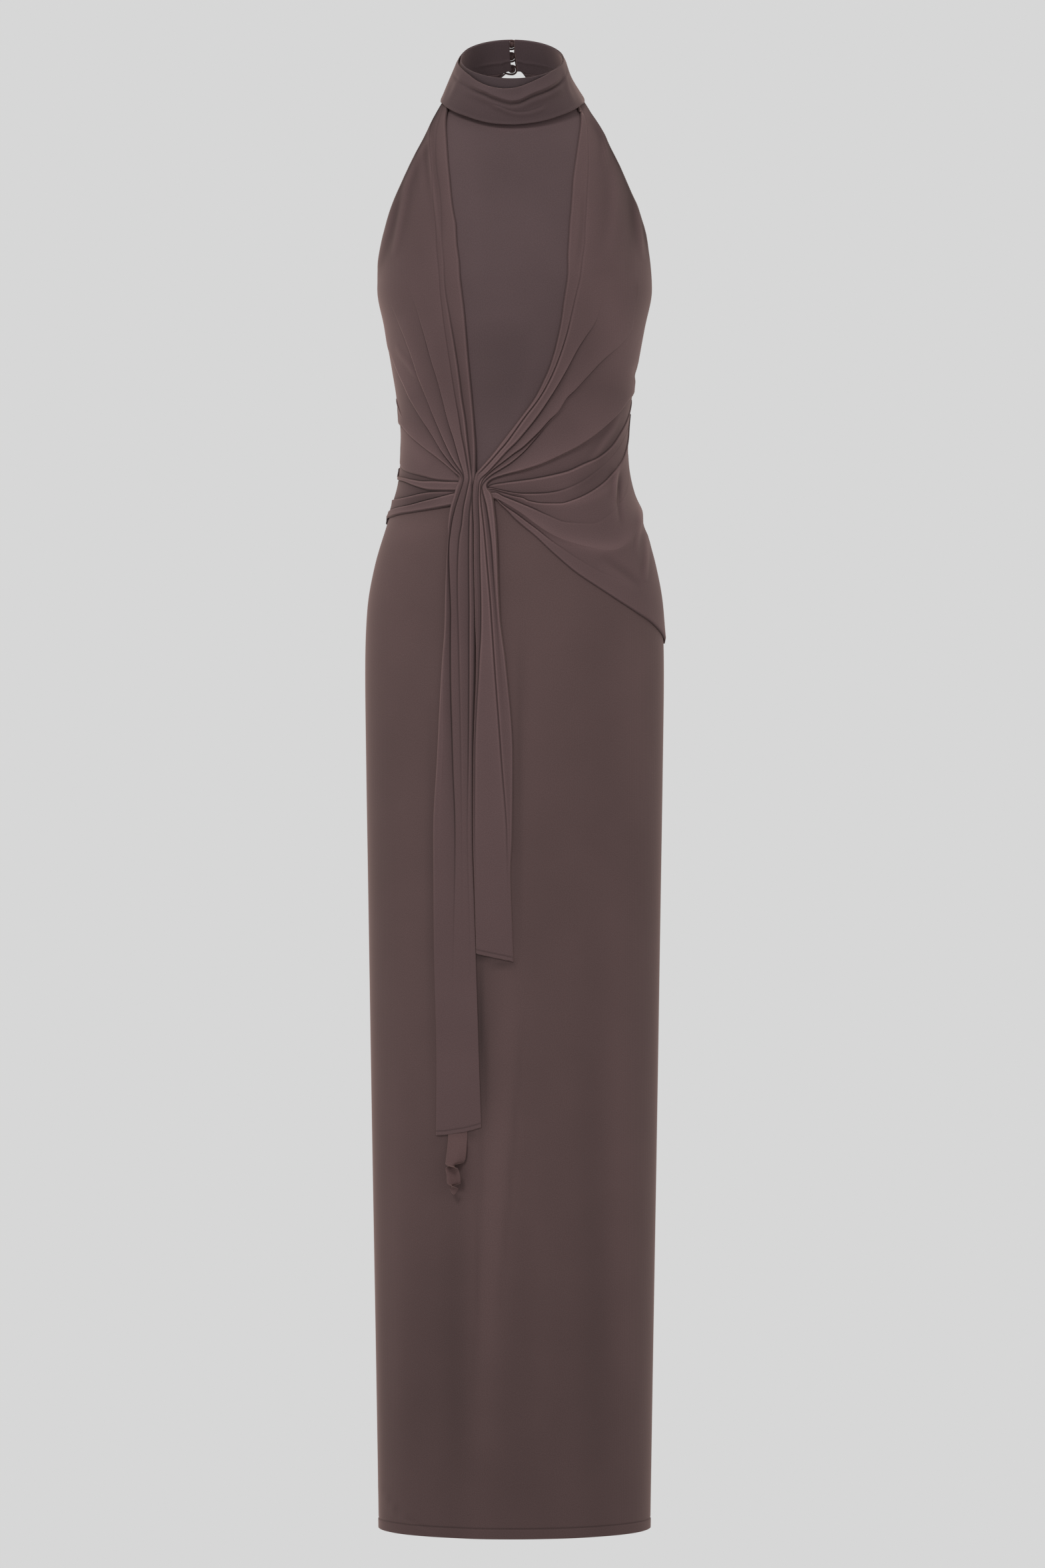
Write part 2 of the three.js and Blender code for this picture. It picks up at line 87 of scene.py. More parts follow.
# What the collar's base leaves free at each end of the uppermost section.
COLLAR_EASE = 1.6
# Steps of the searches for a place on a face, and the step that its slopes are taken over.
SEARCH_HALVINGS, SEARCH_ROUNDS = 30, 9
SLOPE_STEP = 0.01


def linear(code: str) -> tuple[float, float, float, float]:
    """Turns an sRGB colour to the linear colour that shaders take.

    Args:
        code: The colour as six hex digits.

    Returns:
        Red, green, blue and an alpha of 1.
    """
    parts = [int(code[i : i + 2], 16) / 255 for i in (0, 2, 4)]
    flat = [c / 12.92 if c <= 0.04045 else ((c + 0.055) / 1.055) ** 2.4 for c in parts]
    return (flat[0], flat[1], flat[2], 1.0)


def ease(start: float, end: float, value: np.ndarray) -> np.ndarray:
    """Rises smoothly from 0 to 1 as the value goes from start to end.

    Args:
        start: Where the result is still 0.
        end: Where the result has become 1.
        value: One number or an array.

    Returns:
        The eased share, shaped like value.
    """
    share = np.clip((np.asarray(value, float) - start) / (end - start), 0, 1)
    return share * share * (3 - 2 * share)


def mound(distance: np.ndarray, width: np.ndarray | float) -> np.ndarray:
    """Gives 1 where the distance is 0, falling off smoothly over the width on both sides."""
    return np.exp(-((distance / width) ** 2))


def slopes(before: np.ndarray, after: np.ndarray) -> np.ndarray:
    """Gives the slope of a curve at a row, level at a turning point.

    Args:
        before: Step from the row before.
        after: Step to the row after.

    Returns:
        The slope for each value.
    """
    steepest = 2 * np.minimum(np.abs(before), np.abs(after))
    mean = np.abs(before + after) / 2
    return np.where(before * after <= 0, 0, np.sign(after) * np.minimum(mean, steepest))


def row_at(rows: np.ndarray, place: np.ndarray) -> np.ndarray:
    """Reads a table between its rows, on a smooth curve through all of them.

    Args:
        rows: The table, a row for each section.
        place: Row numbers, whole or not.

    Returns:
        One table row for each place.
    """
    last = len(rows) - 1
    at = np.clip(np.asarray(place, float), 0, last)
    i = np.clip(at.astype(int), 0, last - 1)
    t = (at - i)[..., None]
    value, following = rows[i], rows[i + 1]
    step = following - value
    first, final = (i == 0)[..., None], (i == last - 1)[..., None]
    leave = np.where(first, step, slopes(value - rows[np.maximum(i - 1, 0)], step))
    arrive = np.where(final, step, slopes(step, rows[np.minimum(i + 2, last)] - following))
    a = 2 * value - 2 * following + leave + arrive
    b = 3 * following - 3 * value - 2 * leave - arrive
    return ((a * t + b) * t + leave) * t + value


def ripple(place: np.ndarray, length: float, phase: float) -> np.ndarray:
    """Gives slow, uneven waves between -1 and 1, the same on each run.

    Args:
        place: Where, in the same unit as length.
        length: Typical length of a wave.
        phase: A number that tells one run of waves from another.

    Returns:
        The height of the waves at each place.
    """
    x = np.asarray(place, float) * 2 * math.pi / length
    first = np.sin(x + phase * 1.7)
    second = np.sin(0.61 * x + phase * 3.1 + 1.3)
    third = np.sin(1.83 * x + phase * 5.3 + 0.4)
    return 0.5 * first + 0.3 * second + 0.2 * third


class BodySide:
    """The outer face of the front or the back, over which every layer of cloth is laid."""

    def __init__(self, sections: Sequence[Sequence[float]]) -> None:
        """Takes the sections of this side, from the collar down."""
        self.rows = np.array(sections, float)

    def point(self, share: np.ndarray, level: np.ndarray) -> np.ndarray:
        """Finds a place on the face.

        Args:
            share: Share of the half width, from -1 to 1.
            level: Number of the section, whole or not.

        Returns:
            Points in millimetres.
        """
        row = row_at(self.rows, level)
        turn = np.radians(row[..., TURN])
        angle = share * turn
        fall = (1 - np.cos(angle)) / (1 - np.cos(turn))
        x = row[..., HALF_WIDTH] * np.sin(angle) / np.sin(turn)
        y = row[..., MIDDLE_Y] + (row[..., END_Y] - row[..., MIDDLE_Y]) * fall
        z = row[..., MIDDLE_Z] + (row[..., END_Z] - row[..., MIDDLE_Z]) * fall
        return np.stack([x, y, z], -1)

    def reach(self, level: np.ndarray) -> np.ndarray:
        """Gives the length of the arc from the middle to the end of the face on a level."""
        row = row_at(self.rows, level)
        return row[..., HALF_WIDTH] * np.radians(row[..., TURN])

    def normal(self, share: np.ndarray, level: np.ndarray) -> np.ndarray:
        """Gives the outward direction of the face at each place.

        Args:
            share: Share of the half width, from -1 to 1.
            level: Number of the section, whole or not.

        Returns:
            Vectors of length 1.
        """
        step = SLOPE_STEP
        safe = np.clip(level, step, len(self.rows) - 1 - step)
        across = self.point(share + step, safe) - self.point(share - step, safe)
        down = self.point(share, safe + step) - self.point(share, safe - step)
        normal = np.cross(across, down)
        normal /= np.linalg.norm(normal, axis=-1, keepdims=True)
        point = self.point(share, safe)
        inward = (normal[..., :2] * point[..., :2]).sum(-1) < 0
        return np.where(inward[..., None], -normal, normal)

    def level_at(self, share: np.ndarray, z: np.ndarray) -> np.ndarray:
        """Finds the level where the face has height z at that share of its width.

        Args:
            share: Share of the half width, from -1 to 1.
            z: Height, in millimetres.

        Returns:
            Numbers of sections, whole or not.
        """
        share, z = np.broadcast_arrays(np.asarray(share, float), np.asarray(z, float))
        above = np.zeros(share.shape)
        below = np.full(share.shape, len(self.rows) - 1.0)
        for _ in range(SEARCH_HALVINGS):
            middle = (above + below) / 2
            high = self.point(share, middle)[..., 2] > z
            above = np.where(high, middle, above)
            below = np.where(high, below, middle)
        return (above + below) / 2

    def share_at(self, x: np.ndarray, level: np.ndarray) -> np.ndarray:
        """Finds the share of the half width that lies at x on a level.

        Args:
            x: Distance to the side, in millimetres.
            level: Number of the section, whole or not.

        Returns:
            Shares from -1 to 1.
        """
        row = row_at(self.rows, level)
        turn = np.radians(row[..., TURN])
        return np.arcsin(np.clip(x / row[..., HALF_WIDTH] * np.sin(turn), -1, 1)) / turn

    def place_at(self, x: np.ndarray, z: np.ndarray) -> tuple[np.ndarray, np.ndarray]:
        """Finds share and level of the place seen at x and z from the front.

        Args:
            x: Distance to the side, in millimetres.
            z: Height, in millimetres.

        Returns:
            The shares and the levels.
        """
        level = self.level_at(np.zeros(np.shape(x)), z)
        share = self.share_at(x, level)
        for _ in range(SEARCH_ROUNDS):
            level = self.level_at(share, z)
            share = self.share_at(x, level)
        return share, level

    def end_share(self, level: np.ndarray) -> np.ndarray:
        """Gives the share of the half width where the cloth ends at its seam.

        Args:
            level: Number of the section, whole or not.

        Returns:
            Shares a little under 1.
        """
        gap = SEAM_GAP / 2 + COLLAR_EASE * np.maximum(0, 1 - np.asarray(level, float))
        return 1 - gap / self.reach(level)


def lower_back() -> list[tuple[float, ...]]:
    """Builds the back's sections below the underarm from the front's and the back's depths."""
    fronts = FRONT_SECTIONS[len(BACK_UPPER_SECTIONS) :]
    return [(s[0], s[1], s[2], d, s[4], s[5]) for s, d in zip(fronts, BACK_DEPTHS)]


FRONT = BodySide(FRONT_SECTIONS)
BACK = BodySide([*BACK_UPPER_SECTIONS, *lower_back()])
WAIST_LEVEL = float(FRONT.level_at(0.0, WAIST_SEAM_Z))
HEM_LEVEL = len(FRONT_SECTIONS) - 1.0
# The drapes end where the front's cloth does at the section of the underarm.
UNDERARM_LEVEL = 6.0
EDGE_SHARE = float(FRONT.end_share(UNDERARM_LEVEL))


class Held(Enum):
    """How a piece of cloth is held up."""

    HUNG = "hung"
    DRAPED = "draped"
    GATHERED = "gathered"


@dataclass(frozen=True)
class Jersey:
    """Fine viscose jersey, knitted, then draped or sewn.

    The eye sees a matte, warm grey-brown cloth. Its knit shows as faint upright ribs, and its
    fibre ends catch light where the cloth turns away, which lightens edges and fold crests. Fold
    crests also get painted light, and creases painted shade, multiplied into its colour.
    """

    name: str
    colour: str
    roughness: float = 0.86
    ior: float = 1.47
    specular: float = 0.25
    sheen: float = 0.42
    sheen_roughness: float = 0.42
    sheen_colour: str = "D8B4A8"
    # Real knit columns are 0.6 mm apart, too fine for the picture, so they are drawn at 3 mm.
    rib_mm: float = 3.0
    rib_depth_mm: float = 0.05
    rib_strength: float = 0.55
    # Tufts of fibre ends are about 1.1 mm across, and the dye drifts over some 70 mm.
    tuft_mm: float = 10 / 9
    drift_mm: float = 500 / 7

    def material(self) -> bpy.types.Material:
        """Builds the cloth's shader from its knit, its melange and its folds' painted light and
        shade.

        Returns:
            The material.
        """
        made = bpy.data.materials.new(self.name)
        made.use_nodes = True
        tree = made.node_tree
        shader = tree.nodes["Principled BSDF"]
        shader.inputs["Roughness"].default_value = self.roughness
        shader.inputs["IOR"].default_value = self.ior
        shader.inputs["Specular IOR Level"].default_value = self.specular
        shader.inputs["Sheen Weight"].default_value = self.sheen
        shader.inputs["Sheen Roughness"].default_value = self.sheen_roughness
        shader.inputs["Sheen Tint"].default_value = linear(self.sheen_colour)
        knit = node(tree, "ShaderNodeUVMap", {"uv_map": "knit"})
        fibre = node(
            tree,
            "ShaderNodeTexNoise",
            {"Scale": 1000 / self.tuft_mm, "Detail": 2.0},
            {"Vector": knit["UV"]},
        )
        cloud = node(
            tree,
            "ShaderNodeTexNoise",
            {"Scale": 1000 / self.drift_mm, "Detail": 3.0},
            {"Vector": knit["UV"]},
        )
        # The knit coordinates are in metres, and a wave of scale 1 has 20 radians to the metre.
        ribs = node(
            tree,
            "ShaderNodeTexWave",
            {
                "bands_direction": "X",
                "Scale": 2 * math.pi / (20 * self.rib_mm * MM),
                "Distortion": 0.6,
                "Detail": 1.0,
                "Detail Scale": 2.0,
            },
            {"Vector": knit["UV"]},
        )
        shade = node(
            tree,
            "ShaderNodeMapRange",
            {"From Min": 0.3, "From Max": 0.7, "To Min": 0.88, "To Max": 1.10},
            {"Value": fibre["Fac"]},
        )
        drift = node(
            tree,
            "ShaderNodeMapRange",
            {"From Min": 0.3, "From Max": 0.7, "To Min": 0.965, "To Max": 1.035},
            {"Value": cloud["Fac"]},
        )
        # Painted light and shade: fold crests get a painted highlight, and the creases between them
        # painted shade.
        fold = node(tree, "ShaderNodeAttribute", {"attribute_name": "tone"})
        value = shade["Result"]
        for factor in (drift["Result"], fold["Fac"]):
            value = node(
                tree, "ShaderNodeMath", {"operation": "MULTIPLY"}, {0: value, 1: factor}
            )["Value"]
        tone = node(
            tree, "ShaderNodeHueSaturation", {"Color": linear(self.colour)}, {"Value": value}
        )
        bump = node(
            tree,
            "ShaderNodeBump",
            {"Strength": self.rib_strength, "Distance": self.rib_depth_mm * MM},
            {"Height": ribs["Fac"]},
        )
        tree.links.new(tone["Color"], shader.inputs["Base Color"])
        tree.links.new(bump["Normal"], shader.inputs["Normal"])
        return made


def node(
    tree: bpy.types.NodeTree,
    kind: str,
    settings: dict[str | int, object],
    links: dict[str | int, bpy.types.NodeSocket] | None = None,
) -> bpy.types.bpy_prop_collection:
    """Adds a shader node with its settings and what feeds it.

    Args:
        tree: The material's node tree.
        kind: Blender's name for the node.
        settings: Values by input name or number, or by the node's own option.
        links: Sockets that feed the node's inputs, by input name or number.

    Returns:
        The new node's outputs.
    """
    made = tree.nodes.new(kind)
    for key, value in settings.items():
        if isinstance(key, str) and hasattr(made, key):
            setattr(made, key, value)
        else:
            made.inputs[key].default_value = value
    for key, socket in (links or {}).items():
        tree.links.new(socket, made.inputs[key])
    return made.outputs


class Edge(Enum):
    """An edge of a grid of cloth: its own points, and the row or column beside them."""

    TOP = (np.s_[0, :], np.s_[1, :])
    BOTTOM = (np.s_[-1, :], np.s_[-2, :])
    LEFT = (np.s_[:, 0], np.s_[:, 1])
    RIGHT = (np.s_[:, -1], np.s_[:, -2])


@dataclass
class Sheet:
    """A grid of cloth: its outer and inner points, its knit coordinates and its painted light and
    shade.
    """

    outer: np.ndarray
    inner: np.ndarray
    knit: np.ndarray
    light: np.ndarray = field(default_factory=lambda: np.zeros(0))

    def rim(self, edge: Edge) -> np.ndarray:
        """Gives the points of a rounded edge, halfway through the wall and a little out.

        Args:
            edge: Which edge of the grid.

        Returns:
            Points in millimetres.
        """
        own, beside = edge.value
        half = np.linalg.norm(self.outer - self.inner, axis=-1, keepdims=True) / 2
        middle = (self.outer + self.inner) / 2
        out = middle[own] - middle[beside]
        out /= np.maximum(np.linalg.norm(out, axis=-1, keepdims=True), 1e-9)
        return middle[own] + out * half[own]

    def mesh(self, name: str) -> tuple[bpy.types.Object, float]:
        """Builds a closed thin shell with rounded edges.

        Args:
            name: Name of the piece.

        Returns:
            The piece, and the area of its outer face in square metres.
        """
        rows, columns = self.outer.shape[:2]
        count = rows * columns
        top, bottom, left, right = (self.rim(edge) for edge in Edge)
        ring = [top, right[1:-1], bottom[::-1], left[1:-1][::-1]]
        points = np.concatenate([self.outer.reshape(-1, 3), self.inner.reshape(-1, 3), *ring])
        index = np.arange(count).reshape(rows, columns)
        quads = np.stack([index[:-1, :-1], index[:-1, 1:], index[1:, 1:], index[1:, :-1]], -1)
        quads = quads.reshape(-1, 4)
        edge = np.concatenate([index[0], index[1:-1, -1], index[-1][::-1], index[1:-1, 0][::-1]])
        following = np.roll(edge, -1)
        rim = 2 * count + np.arange(len(edge))
        after = np.roll(rim, -1)
        sides = [
            np.stack([following, edge, rim, after], -1),
            np.stack([after, rim, edge + count, following + count], -1),
        ]
        faces = np.concatenate([quads, quads[:, ::-1] + count, *sides])
        a, b, c, d = (points[quads[:, i]] for i in range(4))
        outward = np.cross(c - a, d - b)
        thick = self.outer.reshape(-1, 3)[quads[:, 0]] - self.inner.reshape(-1, 3)[quads[:, 0]]
        if (outward * thick).sum() < 0:
            faces = faces[:, ::-1]
        area = float(np.linalg.norm(outward, axis=1).sum() / 2) * MM * MM
        mesh = bpy.data.meshes.new(name)
        mesh.from_pydata((points * MM).tolist(), [], faces.tolist())
        mesh.polygons.foreach_set("use_smooth", np.ones(len(faces), bool))
        knit = np.concatenate([self.knit.reshape(-1, 2)] * 2 + [self.knit.reshape(-1, 2)[edge]])
        layer = mesh.uv_layers.new(name="knit")
        corners = np.zeros(len(mesh.loops), np.int32)
        mesh.loops.foreach_get("vertex_index", corners)
        layer.uv.foreach_set("vector", (knit[corners] * MM).astype(np.float32).ravel())
        tone = 1 + (self.light if self.light.size else np.zeros((rows, columns))).reshape(-1)
        layer = mesh.attributes.new("tone", "FLOAT", "POINT")
        layer.data.foreach_set(
            "value", np.concatenate([tone, tone, tone[edge]]).astype(np.float32)
        )
        mesh.update()
        piece = bpy.data.objects.new(name, mesh)
        bpy.context.collection.objects.link(piece)
        return piece, area


def dress_piece(
    piece: bpy.types.Object, material: bpy.types.Material, nodes: Sequence[str]
) -> None:
    """Gives a piece its cloth and puts it in the place of its solids.

    Args:
        piece: The piece.
        material: Its finish.
        nodes: The solids that it stands for.
    """
    piece.data.materials.append(material)
    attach(piece, BODY)
    if nodes:
        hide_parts(*nodes)


def declare(piece: bpy.types.Object, area: float) -> None:
    """States a piece's flat cut.

    Args:
        piece: The cloth.
        area: Area of the cut, in square metres.
    """
    LOG.info("%s: %.4f square metres of cloth", piece.name, area)


@dataclass(frozen=True)
class SoftFold:
    """A shallow ridge or, with a negative height, a trough that fades out at both ends."""

    points: Sequence[tuple[float, float]]
    width: float
    height: float

    def height_at(self, x: np.ndarray, z: np.ndarray, spread: float = 1.0) -> np.ndarray:
        """Gives the fold's height at each place.

        Args:
            x: Distance to the side, in millimetres.
            z: Height, in millimetres.
            spread: How many times as wide the fold is taken to be.

        Returns:
            Heights in millimetres, 0 away from the fold.
        """
        table = np.array(self.points, float)
        count = 4 * (len(table) - 1) + 1
        course = row_at(table, np.linspace(0, len(table) - 1, count))
        best = np.full(np.shape(x), 1e9)
        share = np.zeros(np.shape(x))
        for i in range(count - 1):
            along = course[i + 1] - course[i]
            dx, dz = x - course[i][0], z - course[i][1]
            s = np.clip((dx * along[0] + dz * along[1]) / max(along @ along, 1e-9), 0, 1)
            far = np.hypot(dx - s * along[0], dz - s * along[1])
            share = np.where(far < best, (i + s) / (count - 1), share)
            best = np.minimum(best, far)
        fade = np.sin(math.pi * np.clip(share, 0, 1)) ** 0.7
        return self.height * fade * mound(best, self.width * spread)


def folded(
    folds: Sequence[SoftFold], x: np.ndarray, z: np.ndarray, spread: float = 1.0
) -> np.ndarray:
    """Adds up the heights of soft folds at each place."""
    return sum((fold.height_at(x, z, spread) for fold in folds), np.zeros(np.shape(x)))


@dataclass(frozen=True)
class Stitches:
    """A row of stitches along an edge, in millimetres, and how much darker they look."""

    away: float
    width: float
    depth: float
    shade: float

    def nearness(self, distance: np.ndarray) -> np.ndarray:
        """Gives 1 on the stitches, and less beside them, by the distance from the edge."""
        return mound(distance - self.away, self.width)


HEM_STITCHES = Stitches(10.5, 0.8, 0.4, 0.3)
TIE_STITCHES = Stitches(4, 0.8, 0.35, 0.3)
KEYHOLE_STITCHES = Stitches(6.0, 0.9, 0.0, 0.2)
# Short steps where stitches have to show: their number, and the levels or millimetres they take.
HEM_STEPS, HEM_LEVELS = 28, 0.08
TIE_END_STEPS, TIE_END_LENGTH = 20, 12.0


@dataclass
class Panel:
    """A panel of the body, sewn at its sides, with a turned hem where it has a free edge."""

    name: str
    side: BodySide
    levels: tuple[float, float]
    grid: tuple[int, int]
    shares: Callable[[np.ndarray], tuple[np.ndarray, np.ndarray]]
    folds: Sequence[SoftFold] = ()
    # Patches of painted light and painted shade.
    painted_shading: Sequence[SoftFold] = ()
    wall: float = 1.0
    hem: Stitches | None = None
    hem_fullness: float = 0.45
    waves: float = 0.0
    wave_length: float = 95.0
    opening: Stitches | None = None
    opening_fullness: float = 0.5
    # Painted light on raised folds and painted shade in hollows, for each millimetre of height.
    fold_tone: float = 0.06

    def build(self) -> tuple[bpy.types.Object, float]:
        """Lays the cloth over the body.

        Returns:
            The piece and its area in square metres.
        """
        columns, rows = self.grid
        level = np.linspace(*self.levels, rows + 1)
        if self.hem:
            low = self.levels[1] - HEM_LEVELS
            body = np.linspace(self.levels[0], low, rows + 1 - HEM_STEPS)[:-1]
            level = np.concatenate([body, np.linspace(low, self.levels[1], HEM_STEPS + 1)])
        start, end = self.shares(level)
        across = np.linspace(0, 1, columns + 1)
        share = start[:, None] + (end - start)[:, None] * across
        level = np.repeat(level[:, None], columns + 1, 1)
        arc = share * self.side.reach(level)
        point = self.side.point(share, level)
        z = point[..., 2]
        height = folded(self.folds, point[..., 0], z)
        if self.waves:
            # The skirt hangs free below the hips, in long waves that fade towards its seams.
            low = ease(-620, -1500, z)
            wave = ripple(arc, self.wave_length, 2.3)
            height += self.waves * low * wave * np.cos(share * math.pi / 2)
        # Painted light and shade: lighter where the folds rise, darker where they sink, with
        # patches of each.
        light = self.fold_tone * height + folded(self.painted_shading, point[..., 0], z)
        if self.hem:
            # The hem is turned up and stitched: a fuller edge, and a dent along the stitches, with
            # painted shade.
            up = z - z[-1:, :]
            height += self.hem_fullness * (1 - ease(self.hem.away - 2, self.hem.away, up))
            stitch = self.hem.nearness(up)
            height -= self.hem.depth * stitch
            light = light - self.hem.shade * stitch
        if self.opening:
            # A narrow turned edge runs round the opening, with painted shade along its stitches.
            away = np.abs(arc - arc[:, :1])
            turned = 1 - ease(self.opening.away - 1.5, self.opening.away, away)
            stitch = self.opening.nearness(away)
            height += self.opening_fullness * turned - self.opening.depth * stitch
            light = light - self.opening.shade * stitch
        normal = self.side.normal(share, level)
        outer = point + normal * height[..., None]
        inner = point - normal * (self.wall - height)[..., None]
        knit = np.stack([arc, z], -1)
        return Sheet(outer, inner, knit, light).mesh(self.name)


# Steps between two points of a fold line's table.
FINE = 24
# Columns of a fold line's course, as FoldLine.course gives them.
SHARE, LEVEL, TALL, INNER_LIP, OUTER_LIP, SUNK, PAST, WAY, LEFT = range(9)
# An x beyond SIDE_MARK stands for the side seam, and no other x is beyond WIDEST_X.
SIDE_MARK, WIDEST_X = 500.0, 158.0


class Lip(Enum):
    """How cloth stands beside a fold line.

    The three numbers are the share of the fold's height on the line's inner side and on its
    outer side, and how deep the line itself is sunk.
    """

    INNER = (1.0, 0.12, 1.0)
    OUTER = (0.12, 1.0, 1.0)
    BOTH = (1.0, 1.0, 0.9)
    CREST = (1.0, 1.0, 0.0)
    NONE = (0.0, 0.0, 0.0)


@dataclass(frozen=True)
class FoldLine:
    """A fold line of a drape, as x, z and height of the fold in millimetres.

    It runs from the knot to the drape's edge, and in a drape that ends in a tie also up the tie
    to the knot. A line that ends at the side seam has 999 for x, with its sign.
    """

    fan: Sequence[tuple[float, float, float]]
    tie: Sequence[tuple[float, float, float]] = ()
    lip: Lip = Lip.INNER
    tie_lip: Lip = Lip.INNER

    def course(self, tie_steps: int, fan_steps: int) -> np.ndarray:
        """Follows the line over the front.

        Args:
            tie_steps: Steps along the tie.
            fan_steps: Steps from the knot to the edge.

        Returns:
            For each step the share of the half width, the level, the fold's height, the three
            numbers of its lip, the way past the knot, and the ways from its start and to its end.
        """
        table = np.array([*self.tie, *self.fan], float)
        edge = EDGE_SHARE
        share, level = FRONT.place_at(np.clip(table[:, 0], -WIDEST_X, WIDEST_X), table[:, 1])
        at_side = np.abs(table[:, 0]) > SIDE_MARK
        share = np.where(at_side, np.sign(table[:, 0]) * edge, np.clip(share, -edge, edge))
        level = np.where(at_side, FRONT.level_at(share, table[:, 1]), level)
        places = np.stack([share, level, table[:, 2]], -1)
        fine = row_at(places, np.arange(FINE * (len(table) - 1) + 1) / FINE)
        steps = np.linalg.norm(np.diff(FRONT.point(fine[:, 0], fine[:, 1]), axis=0), axis=1)
        length = np.concatenate([[0], np.cumsum(steps)])
        knot = length[FINE * max(len(self.tie) - 1, 0)]
        way = knot + (length[-1] - knot) * np.linspace(0, 1, fan_steps + 1) ** 1.2
        if self.tie:
            rest = 1 - np.linspace(1, 0, tie_steps + 1 - TIE_END_STEPS)[:-1] ** 1.25
            end = np.linspace(0, TIE_END_LENGTH, TIE_END_STEPS + 1)[:-1]
            way = np.concatenate([end, TIE_END_LENGTH + (knot - TIE_END_LENGTH) * rest, way])
        # The lip changes from the tie's to the drape's inside the knot.
        drawn = ease(-8, 14, way - knot)[:, None]
        lip = np.array(self.tie_lip.value) * (1 - drawn) + np.array(self.lip.value) * drawn
        found = np.stack([np.interp(way, length, column) for column in fine.T], -1)
        return np.column_stack([found, lip, way - knot, way, length[-1] - way])


